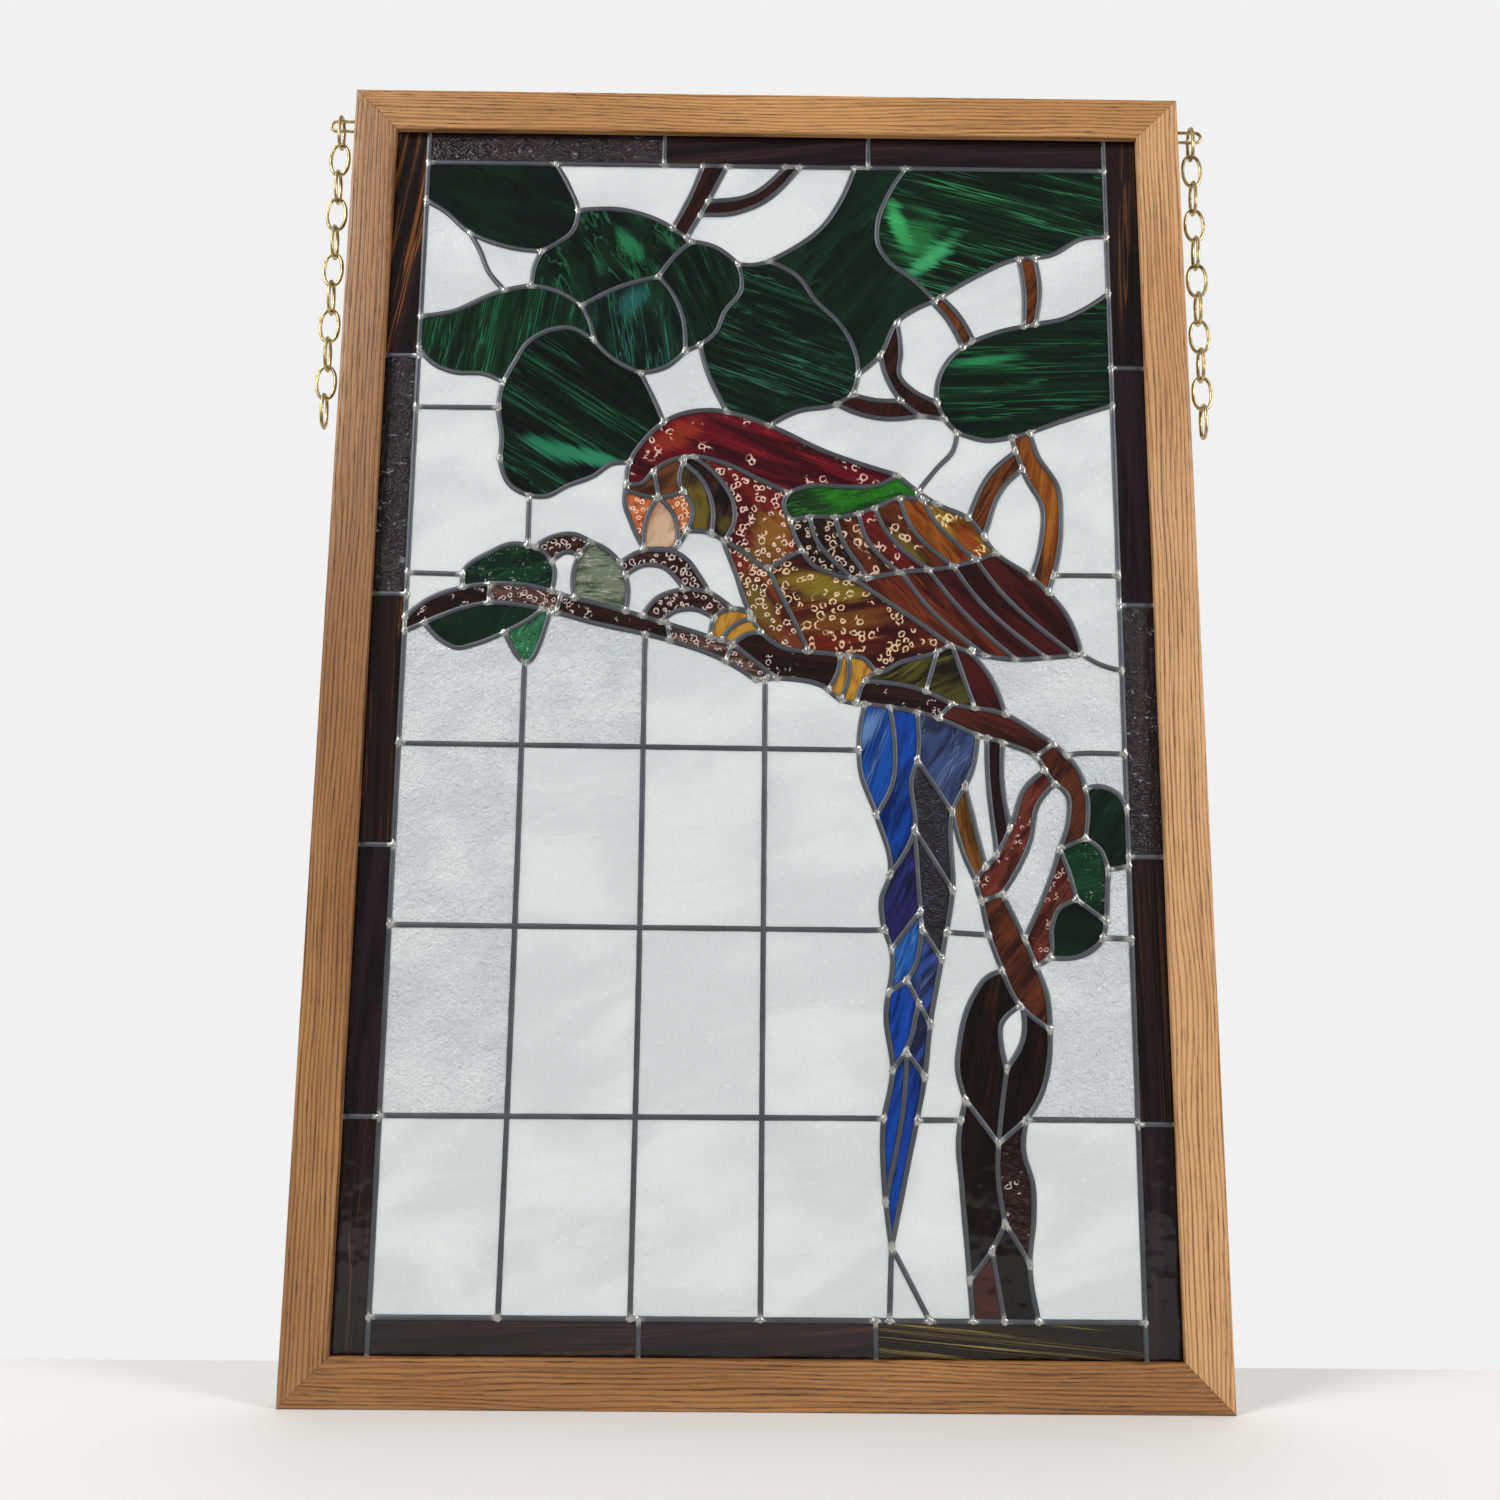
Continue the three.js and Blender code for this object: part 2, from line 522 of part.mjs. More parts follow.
// A wire with mitred bends through points that lie in one upright plane, facing the front.
function wire(points, radius, sides) {
  const across = new THREE.Vector3(0, 1, 0);
  const positions = [];
  const last = points.length - 1;
  points.forEach((point, i) => {
    const along = point.clone().sub(points[Math.max(i - 1, 0)]);
    const onward = points[Math.min(i + 1, last)].clone().sub(point);
    const into = (i > 0 ? along : onward).normalize();
    const out = (i < last ? onward : into.clone()).normalize();
    const mitre = into.clone().add(out).normalize();
    const inPlane = new THREE.Vector3().crossVectors(mitre, across).divideScalar(mitre.dot(into));
    for (let k = 0; k < sides; k += 1) {
      const angle = (2 * Math.PI * k) / sides;
      const corner = point.clone().addScaledVector(across, radius * Math.cos(angle));
      positions.push(corner.addScaledVector(inPlane, radius * Math.sin(angle)));
    }
  });
  return tube(positions, points.length, sides);
}

// A closed tube from rings of corners, with a flat fan at each end.
function tube(corners, rings, sides) {
  const index = [];
  for (let r = 0; r < rings - 1; r += 1) {
    for (let k = 0; k < sides; k += 1) {
      const a = r * sides + k;
      const b = r * sides + ((k + 1) % sides);
      index.push(a, a + sides, b, b, a + sides, b + sides);
    }
  }
  const lastRing = (rings - 1) * sides;
  for (let k = 1; k < sides - 1; k += 1) {
    index.push(0, k, k + 1);
    index.push(lastRing, lastRing + k + 1, lastRing + k);
  }
  const geometry = new THREE.BufferGeometry().setFromPoints(corners);
  geometry.setIndex(index);
  return facingOut(geometry);
}

// Turns every triangle over where the solid would be inside out.
function facingOut(geometry) {
  const p = geometry.attributes.position;
  const index = geometry.index.array;
  const corner = (i) => new THREE.Vector3().fromBufferAttribute(p, index[i]);
  let volume = 0;
  for (let i = 0; i < index.length; i += 3) {
    volume += corner(i).dot(corner(i + 1).cross(corner(i + 2)));
  }
  if (volume < 0) {
    for (let i = 0; i < index.length; i += 3) {
      [index[i + 1], index[i + 2]] = [index[i + 2], index[i + 1]];
    }
  }
  return geometry;
}

// An oval link: a ring whose centre line is drawn out along Z.
const LINK_SIDES = 4;
const LINK_STEPS = 8;

function link(turned) {
  const ringRadius = (LINK_WIDTH - LINK_WIRE) / 2;
  const stretch = (LINK_LENGTH - LINK_WIDTH) / 2;
  const geometry = new THREE.TorusGeometry(ringRadius, LINK_WIRE / 2, LINK_SIDES, LINK_STEPS);
  geometry.rotateZ(Math.PI / 2);
  const p = geometry.attributes.position;
  for (let i = 0; i < p.count; i += 1) {
    const angle = Math.atan2(p.getY(i), p.getX(i));
    p.setY(i, p.getY(i) + stretch * Math.sin(angle));
  }
  geometry.rotateX(Math.PI / 2);
  if (turned) geometry.rotateZ(Math.PI / 2);
  return geometry;
}

// The chain hangs from the staple's upper leg. Every second link is turned edge-on, from the first.
const chainX = side + CHAIN_OFFSET;
const firstLinkZ = top - STAPLE_DROP + STAPLE_WIRE / 2 + GAP + LINK_WIRE - LINK_LENGTH / 2;
const linkHang = LINK_LENGTH - 2 * LINK_WIRE;
const linkPitch = linkHang + LINK_BITE;

function linkAt(hand, i, drop) {
  const geometry = link(i % 2 === 0);
  geometry.translate(hand * chainX, -STAPLE_SET_IN, firstLinkZ - drop);
  return solidOf(geometry);
}

function chain(hand) {
  const links = [];
  for (let i = 0; i < LINKS_A_SIDE - 1; i += 1) links.push(linkAt(hand, i, i * linkPitch));
  return Manifold.union(links);
}

function endLink(hand) {
  const drop = (LINKS_A_SIDE - 2) * linkPitch + linkHang - GAP;
  return linkAt(hand, LINKS_A_SIDE - 1, drop);
}

const group = new THREE.Group();

function addPiece(name, geometry, look) {
  const [color, roughness, metalness] = LOOKS[look];
  const material = new THREE.MeshStandardMaterial({ name: `${name}_finish`, color, roughness, metalness });
  const mesh = new THREE.Mesh(geometry, material);
  mesh.name = name;
  group.add(mesh);
}

addPiece('top_rail', geometryOf(rail(top, top - MEMBER_FACE)), 'oak');
addPiece('bottom_rail', geometryOf(rail(bottom, bottom + MEMBER_FACE)), 'oak');
addPiece('leadwork', geometryOf(leadwork), 'lead');
for (const [handName, hand] of [['left', -1], ['right', 1]]) {
  addPiece(`${handName}_stile`, geometryOf(stile(hand)), 'oak');
  addPiece(`${handName}_staple`, stapleShape(hand, STAPLE_WIRE / 2, STAPLE_BITE), 'brass');
  addPiece(`${handName}_chain`, geometryOf(chain(hand)), 'brass');
  addPiece(`${handName}_end_link`, geometryOf(endLink(hand)), 'brass');
}
for (const [name, { at, look }] of Object.entries(GLASS_SHEETS)) {
  const piece = glassPieces.find((solid) => covers(solid, at));
  addPiece(`glass_${name}`, geometryOf(piece), look);
}

export default group;
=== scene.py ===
"""A leaded stained glass window in a mitred oak frame, with a brass chain at each side.

Lengths in this file are millimetres unless a name or a line says otherwise. The mesh data is in metres.
The front of the window looks along -Y, and the origin is the centre of the top rail's back face.
"""
import math

import bmesh
import bpy
import numpy as np
from mathutils import Matrix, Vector
from mathutils.geometry import delaunay_2d_cdt


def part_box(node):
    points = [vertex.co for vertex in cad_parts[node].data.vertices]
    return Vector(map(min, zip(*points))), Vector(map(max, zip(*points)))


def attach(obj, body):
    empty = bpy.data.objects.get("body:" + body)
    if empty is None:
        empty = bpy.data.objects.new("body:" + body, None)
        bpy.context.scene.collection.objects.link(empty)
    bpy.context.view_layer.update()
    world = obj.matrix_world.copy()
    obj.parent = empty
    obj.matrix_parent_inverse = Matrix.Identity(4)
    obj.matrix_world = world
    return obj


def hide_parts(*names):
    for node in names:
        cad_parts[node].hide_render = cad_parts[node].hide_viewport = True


bl_info = {
    "name": "Leaded Glass Window",
    "version": (1, 0, 0),
    "blender": (4, 5, 0),
    "location": "View3D > Sidebar > Leaded Window",
    "description": "Builds the glass, leadwork, oak frame, chains and studio of a leaded window",
    "category": "Object",
}

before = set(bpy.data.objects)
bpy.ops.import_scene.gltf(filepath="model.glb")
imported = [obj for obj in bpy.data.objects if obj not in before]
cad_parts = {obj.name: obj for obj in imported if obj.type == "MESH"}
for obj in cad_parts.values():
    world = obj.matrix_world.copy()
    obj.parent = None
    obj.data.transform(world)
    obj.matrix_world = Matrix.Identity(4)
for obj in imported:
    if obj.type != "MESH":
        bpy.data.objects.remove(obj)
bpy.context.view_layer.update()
MM = 0.001


def cad_box(node):
    """The lowest and highest corner of a solid of the frame, in millimetres."""
    low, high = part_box(node)
    return np.array(low) / MM, np.array(high) / MM


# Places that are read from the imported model.
PANEL_LOW, PANEL_HIGH = cad_box("leadwork")
RAIL_LOW, RAIL_HIGH = cad_box("top_rail")
FOOT_LOW, FOOT_HIGH = cad_box("bottom_rail")
GLASS_LOW, GLASS_HIGH = cad_box("glass_sky_column_2")
PANEL_TUCK = 6.0
SIGHT_LEFT = PANEL_LOW[0] + PANEL_TUCK
SIGHT_FOOT = PANEL_LOW[2] + PANEL_TUCK
MEMBER_FACE = RAIL_HIGH[2] - RAIL_LOW[2]
GLASS_FRONT = GLASS_LOW[1]
GLASS_BACK = GLASS_HIGH[1]

# The cartoon is the full-size drawing of the lead lines, seen from the front.
# Its points are whole millimetres from the lower left corner of the sight opening.
# The inner edge of its border is written as L, R, B and T, and the middle of its rim came as RIM_.
SHEET_W = 670
SHEET_H = 1051
BORDER_STRIP = 28.5
RIM_OUT = 3.8
L, R = BORDER_STRIP, SHEET_W - BORDER_STRIP
B, T = BORDER_STRIP, SHEET_H - BORDER_STRIP
RIM_L, RIM_R = -RIM_OUT, SHEET_W + RIM_OUT
RIM_B, RIM_T = -RIM_OUT, SHEET_H + RIM_OUT

LEADS = {
    # Inner edge of the border, and the joints between its strips.
    "border_left": ((L, RIM_B), (L, RIM_T)),
    "border_right": ((R, RIM_B), (R, RIM_T)),
    "border_top": ((L, T), (R, T)),
    "border_bottom": ((L, B), (R, B)),
    "left_strip_one": ((RIM_L, 836), (L, 836)),
    "left_strip_two": ((RIM_L, 618), (L, 618)),
    "left_strip_three": ((RIM_L, 402), (L, 402)),
    "left_strip_four": ((RIM_L, 182), (L, 182)),
    "right_strip_one": ((R, 832), (RIM_R, 832)),
    "right_strip_two": ((R, 615), (RIM_R, 615)),
    "right_strip_three": ((R, 398), (RIM_R, 398)),
    "right_strip_four": ((R, 181), (RIM_R, 181)),
    "top_strip_one": ((242, T), (242, RIM_T)),
    "top_strip_two": ((427, T), (427, RIM_T)),
    "bottom_strip_one": ((241, RIM_B), (241, B)),
    "bottom_strip_two": ((428, RIM_B), (428, B)),
    # Straight leads of the pale background.
    "column_one": ((132, 559), (132, 335), (130, B)),
    "column_two": ((234, 583), (235, 334), (234, B)),
    "column_three": ((337, 546), (337, B)),
    "column_four": ((441, 85), (439, B)),
    "row_one": ((L, 788), (101, 788)),
    "row_two_left": ((L, 637), (76, 636)),
    "row_two_right": ((584, 641), (R, 641)),
    "row_three_left": ((L, 488), (417, 486)),
    "row_three_right": ((594, 486), (R, 485)),
    "row_four_left": ((L, 336), (436, 335)),
    "row_four_middle": ((488, 334), (524, 332)),
    "row_four_right": ((619, 330), (R, 330)),
    "row_five_left": ((L, 183), (435, 184)),
    "row_five_middle": ((462, 183), (499, 183)),
    "row_five_right": ((551, 184), (R, 184)),
    "column_one_upper": ((131, 708), (131, 662)),
    "tail_tip_fork": ((441, 85), (471, B)),
    "wing_tip": ((608, 571), (624, 562), (R, 557)),
    "thin_lead_left": ((69, 954), (79, 936), (87, 917), (102, 899)),
    "thin_lead_right": ((504, 770), (500, 753), (486, 737), (471, 718)),
    # Large leaves along the top.
    "leaf_one_right": ((144, T), (157, 999), (165, 977), (161, 957), (146, 944), (134, 937)),
    "leaf_one_below": ((134, 937), (118, 938), (95, 943), (69, 954), (45, 975), (L, 985)),
    "leaf_two_left": ((134, 937), (128, 922), (126, 903)),
    "leaf_two_top": ((165, 977), (206, 978), (234, 970), (268, 948)),
    "leaf_two_right": ((268, 948), (254, 935), (239, 914)),
    "leaf_two_below": ((239, 914), (206, 904), (171, 885)),
    "leaf_three_top": ((L, 873), (53, 877), (100, 898), (126, 903), (148, 899), (171, 885)),
    "leaf_three_right": ((171, 885), (178, 871), (183, 852)),
    "leaf_three_below": ((L, 844), (43, 828), (60, 821), (89, 819), (104, 812)),
    "leaf_five_top": ((104, 812), (113, 830), (124, 849), (142, 861), (161, 864), (183, 852)),
    "leaf_four_left": ((183, 852), (199, 836), (225, 822)),
    "leaf_four_below": ((225, 822), (247, 828), (264, 843)),
    "leaf_six_left": ((239, 914), (251, 899), (261, 876), (264, 843)),
    "leaf_six_top": ((268, 948), (287, 944), (310, 927)),
    "leaf_six_right": ((310, 927), (313, 902), (298, 880), (291, 862), (264, 843)),
    "leaf_five_right": ((225, 822), (235, 802), (247, 775)),
    "leaf_five_below": (
        (216, 739), (203, 738), (186, 726), (164, 717), (145, 707), (130, 708), (114, 717), (104, 741),
    ),
    "leaf_five_left": ((104, 741), (105, 760), (101, 788), (104, 812)),
    "leaf_eight_left": ((277, 850), (284, 824), (302, 787)),
    "leaf_seven_left": ((415, T), (402, 990), (388, 967), (338, 930)),
    "leaf_seven_right": ((461, T), (444, 994), (435, 966), (436, 946), (446, 930), (463, 917), (486, 894)),
    "leaf_seven_below": ((486, 894), (452, 873), (437, 842), (417, 823)),
    "leaf_eight_top": ((310, 927), (322, 926), (338, 930)),
    "leaf_eight_right": (
        (338, 930), (364, 915), (380, 892), (399, 873), (410, 856), (417, 823), (412, 804),
    ),
    "leaf_eight_below": ((412, 804), (398, 795), (364, 788), (339, 775)),
    "leaf_nine_below": ((R, 958), (620, 956), (590, 939), (559, 935), (527, 920), (486, 894)),
    "leaf_ten_top": ((518, 855), (540, 864), (577, 873), (600, 878), (620, 888), (R, 903)),
    "leaf_ten_below": ((R, 797), (597, 782), (555, 767), (529, 763), (504, 770)),
    "leaf_ten_left": ((504, 770), (493, 783), (487, 798), (488, 818), (498, 838), (518, 855)),
    # Twigs between the leaves.
    "twig_below_leaf_eight": ((398, 795), (416, 787), (440, 782), (472, 785)),
    "hook_twig_right": ((453, 872), (455, 843), (454, 822), (468, 807), (489, 798)),
    "twig_to_leaf_ten": ((472, 785), (494, 783)),
    "twig_fork_left": ((555, 753), (533, 733), (513, 692)),
    "twig_stem_left": ((552, 767), (555, 753)),
    "twig_stem_right": ((568, 771), (574, 750), (591, 721), (593, 690), (588, 650), (579, 624)),
    "top_twig_left": ((277, T), (268, 997), (251, 961)),
    "top_twig_right": ((299, T), (283, 989), (263, 951)),
    "right_twig_left": ((562, 936), (566, 904), (565, 871)),
    "right_twig_right": ((576, 937), (580, 904), (575, 873)),
    "top_fork_upper": ((282, 988), (320, 994), (352, T)),
    "top_fork_lower": ((272, 976), (300, 975), (328, 985), (365, T)),
    "short_twig_left": ((484, 892), (497, 876), (510, 850)),
    "short_twig_right": ((492, 897), (508, 879), (520, 856)),
    "hook_twig_left": ((437, 842), (443, 819), (455, 799), (472, 785)),
    "low_twig_top": ((412, 804), (435, 799), (455, 799)),
    "fork_twig_right": ((558, 736), (543, 719), (527, 675)),
    "stem_twig_left": ((555, 753), (566, 724), (576, 706), (575, 670), (566, 639)),
    # Macaw: head, body and wing.
    "head_top": (
        (215, 719), (217, 738), (229, 759), (252, 780), (286, 788), (319, 782), (340, 774), (386, 752),
        (451, 730),
    ),
    "wing_back": ((451, 730), (485, 704), (513, 691), (536, 660), (566, 639), (597, 603), (608, 571)),
    "crown_below": (
        (215, 719), (228, 720), (240, 733), (256, 742), (273, 745), (303, 738), (330, 725), (356, 713),
    ),
    "shoulder_top": ((356, 713), (373, 719), (410, 719), (435, 721), (451, 730)),
    "shoulder_left": ((356, 713), (352, 702), (358, 688)),
    "shoulder_below": ((358, 688), (373, 691), (405, 692), (431, 700), (452, 709), (485, 704)),
    "neck_right": ((358, 688), (361, 676), (368, 661)),
    "cheek_right": ((273, 745), (295, 726), (309, 699), (309, 685), (303, 672)),
    "neck_below": ((299, 670), (317, 659), (339, 645), (355, 654), (368, 661)),
    "beak_front": ((215, 719), (214, 702), (220, 684), (231, 661)),
    "beak_base": ((231, 661), (260, 664), (268, 677)),
    "chin": ((268, 677), (286, 676), (299, 670)),
    "breast_left": ((299, 670), (310, 642), (322, 608), (333, 588), (348, 576), (373, 571)),
    "belly_below": ((495, 578), (479, 570), (454, 563), (433, 554), (420, 566), (405, 568), (373, 571)),
    "belly_right": ((412, 636), (434, 621), (465, 600), (495, 578)),
    "coverts_below": ((368, 661), (376, 649), (391, 641), (412, 636), (452, 642), (499, 648), (536, 660)),
    "primaries_below": ((495, 578), (525, 569), (549, 566), (580, 568), (608, 571)),
    "face_back": ((268, 738), (284, 718), (290, 700), (290, 676)),
    "beak_top": ((215, 714), (244, 707), (265, 713)),
    "beak_middle": ((242, 707), (234, 690), (231, 661)),
    "mandible_left": ((244, 707), (257, 691), (261, 664)),
    "mandible_right": ((265, 713), (273, 695), (268, 677)),
    "breast_right": ((339, 645), (346, 629), (358, 605), (374, 571)),
    "covert_one": ((375, 691), (380, 671), (392, 655), (412, 636)),
    "covert_two": ((397, 692), (402, 673), (425, 639)),
    "covert_three": ((417, 695), (423, 674), (452, 642)),
    "covert_four": ((431, 700), (439, 682), (477, 645)),
    "covert_five": ((453, 709), (460, 688), (499, 648)),
    "covert_six": ((473, 706), (483, 689), (518, 655)),
    "primary_one": ((454, 642), (471, 618), (525, 569)),
    "primary_two": ((477, 645), (499, 616), (551, 566)),
    "primary_three": ((499, 648), (517, 622), (577, 568)),
    "primary_four": ((518, 655), (535, 631), (601, 571)),
    "face_front": ((239, 731), (243, 708)),
    "face_middle": ((266, 744), (262, 718), (265, 713)),
    # Macaw: tail.
    "tail_coverts_right": ((512, 572), (530, 548), (541, 518)),
    "tail_left": (
        (422, 527), (417, 498), (418, 468), (431, 431), (442, 381), (435, 361), (436, 341), (443, 318),
        (438, 263), (443, 222), (435, 178), (435, 142), (441, 85),
    ),
    "tail_right": (
        (517, 500), (513, 473), (495, 434), (494, 369), (484, 312), (474, 259), (469, 217), (456, 154),
        (441, 85),
    ),
    "tail_covert_one": ((484, 572), (474, 538)),
    "tail_covert_two": ((497, 577), (515, 523)),
    "tail_one": ((443, 523), (447, 490), (445, 459), (431, 431)),
    "tail_two": ((466, 518), (466, 479), (461, 462), (463, 419), (442, 381)),
    "tail_three": ((466, 478), (495, 434)),
    "tail_four": ((463, 419), (494, 369)),
    "tail_five": ((463, 419), (468, 337)),
    "tail_six": ((467, 351), (442, 319)),
    "tail_seven": ((468, 337), (484, 312)),
    "tail_eight": ((468, 337), (455, 295), (440, 285)),
    "tail_nine": ((455, 295), (474, 259)),
    "tail_ten": ((463, 275), (456, 242), (443, 222)),
    "tail_eleven": ((456, 237), (469, 217)),
    "tail_twelve": ((455, 238), (451, 190), (436, 119)),
    # Feet on the branch.
    "left_foot_outer": ((290, 583), (295, 602), (310, 608), (325, 605)),
    "left_foot_inner": ((308, 576), (318, 584), (333, 588)),
    "right_foot_left": ((401, 568), (399, 554), (393, 540)),
    "right_foot_right": ((433, 554), (422, 546), (415, 530)),
    "left_foot_middle": ((299, 580), (311, 594), (327, 600)),
    "right_foot_middle": ((408, 568), (408, 549), (402, 530)),
    # The branch and its joints.
    "branch_top": (
        (L, 597), (47, 613), (72, 623), (101, 628), (132, 627), (168, 617), (216, 605), (253, 594),
        (309, 577),
    ),
    "branch_below": (
        (L, 585), (54, 597), (76, 606), (99, 611), (130, 609), (191, 594), (253, 580), (303, 562),
        (329, 546),
    ),
    "branch_below_feet": ((329, 546), (358, 547), (386, 541), (402, 529), (422, 526)),
    "branch_top_right": (
        (422, 546), (472, 538), (496, 527), (541, 518), (566, 503), (587, 488), (602, 470), (608, 450),
        (606, 413),
    ),
    "branch_below_right": (
        (422, 526), (482, 515), (515, 501), (544, 492), (566, 482), (578, 463), (592, 449), (592, 428),
        (584, 404),
    ),
    "branch_joint_one": ((100, 628), (99, 611)),
    "branch_joint_two": ((161, 619), (157, 602)),
    "branch_joint_three": ((253, 594), (255, 579)),
    "branch_joint_four": ((309, 577), (303, 562)),
    "branch_under_foot": ((309, 577), (347, 547)),
    "branch_joint_five": ((496, 527), (484, 514)),
    "branch_joint_six": ((580, 492), (566, 482)),
    # Small leaves and arcs beside the branch.
    "low_leaf_left": ((77, 625), (76, 636), (101, 657), (114, 663), (137, 661)),
    "first_arc_top": ((137, 661), (151, 670), (170, 673), (186, 666)),
    "ripple_leaf_top": ((186, 666), (200, 659), (211, 648)),
    "second_arc_top": ((211, 648), (231, 659), (252, 660), (268, 652), (280, 636), (288, 623)),
    "third_arc_top": ((288, 623), (309, 609)),
    "hanging_leaf_below": ((45, 593), (64, 575), (74, 571), (88, 574), (114, 585)),
    "hanging_leaf_tip": ((114, 585), (132, 559), (152, 604)),
    "side_leaf_top": ((607, 455), (619, 457), (635, 450), (R, 438)),
    "side_leaf_foot": ((R, 390), (624, 387)),
    "side_leaf_upper_edge": ((584, 404), (606, 413)),
    "side_leaf_right": ((624, 387), (621, 344)),
    "side_leaf_below": ((621, 344), (617, 329), (600, 316), (573, 314)),
    "side_leaf_split": ((606, 413), (617, 405), (624, 387)),
    "side_leaf_low_split": ((597, 362), (621, 344)),
    "low_leaf_right": ((137, 661), (147, 655), (154, 644), (153, 622)),
    "first_arc_below": ((152, 648), (165, 657), (176, 654)),
    "ripple_leaf_left": ((186, 666), (176, 654), (171, 634), (173, 616)),
    "ripple_leaf_right": ((211, 648), (218, 629), (217, 605)),
    "second_arc_below": ((216, 637), (233, 646), (249, 644), (260, 634), (267, 624)),
    "third_arc_left": ((231, 600), (243, 616), (262, 624), (288, 623)),
    "third_arc_below": ((247, 596), (262, 606), (277, 607), (292, 600)),
    "hanging_leaf_split": ((114, 585), (139, 600), (146, 606)),
    # Trunk, arms and vine.
    "trunk_top_left": ((518, 360), (524, 331), (534, 303)),
    "trunk_top_right": ((535, 366), (553, 329)),
    "trunk_below_vine": ((562, 307), (570, 284), (572, 256)),
    "trunk_middle_left": ((534, 303), (522, 298), (509, 281), (498, 246), (496, 222), (502, 199)),
    "trunk_middle_right": ((572, 256), (570, 227), (563, 203), (551, 184)),
    "trunk_low_left": ((502, 199), (496, 170), (498, 130), (503, 60), (505, B)),
    "trunk_low_right": ((551, 184), (548, 160), (555, 133), (555, 107), (551, 72), (557, B)),
    "amber_left": ((495, 434), (503, 401), (514, 376)),
    "inner_arm_left": ((574, 471), (555, 453), (546, 428), (531, 398), (514, 376), (518, 360)),
    "inner_arm_right": ((583, 461), (566, 440), (560, 412), (544, 379), (535, 366)),
    "outer_arm_left": ((584, 404), (578, 385), (553, 329)),
    "outer_arm_right": ((584, 404), (592, 382), (597, 362)),
    "outer_arm_foot": ((597, 362), (582, 354), (576, 340), (573, 314), (562, 307)),
    "vine_left": ((525, 498), (525, 469), (532, 398)),
    "vine_right": ((538, 494), (537, 460), (543, 420)),
    "trunk_cross": ((534, 303), (548, 275), (572, 256)),
    "diamond_left": ((548, 275), (532, 259), (532, 242), (536, 224)),
    "diamond_right": ((551, 273), (550, 249), (536, 224)),
    "amber_right": ((506, 456), (515, 416), (522, 388)),
    "trunk_joint_top": ((518, 360), (535, 366)),
    "trunk_vine_joint": ((553, 329), (562, 307)),
    "trunk_split": ((536, 224), (532, 198), (528, 165)),
    "trunk_fork_left": ((502, 199), (528, 165)),
    "trunk_fork_right": ((551, 184), (528, 165)),
    "trunk_low_split": ((528, 165), (527, 142), (532, 103)),
    "trunk_foot_left": ((532, 103), (520, 81), (503, 60)),
    "trunk_foot_right": ((532, 103), (552, 72)),
    "trunk_foot_split": ((521, 83), (530, B)),
}

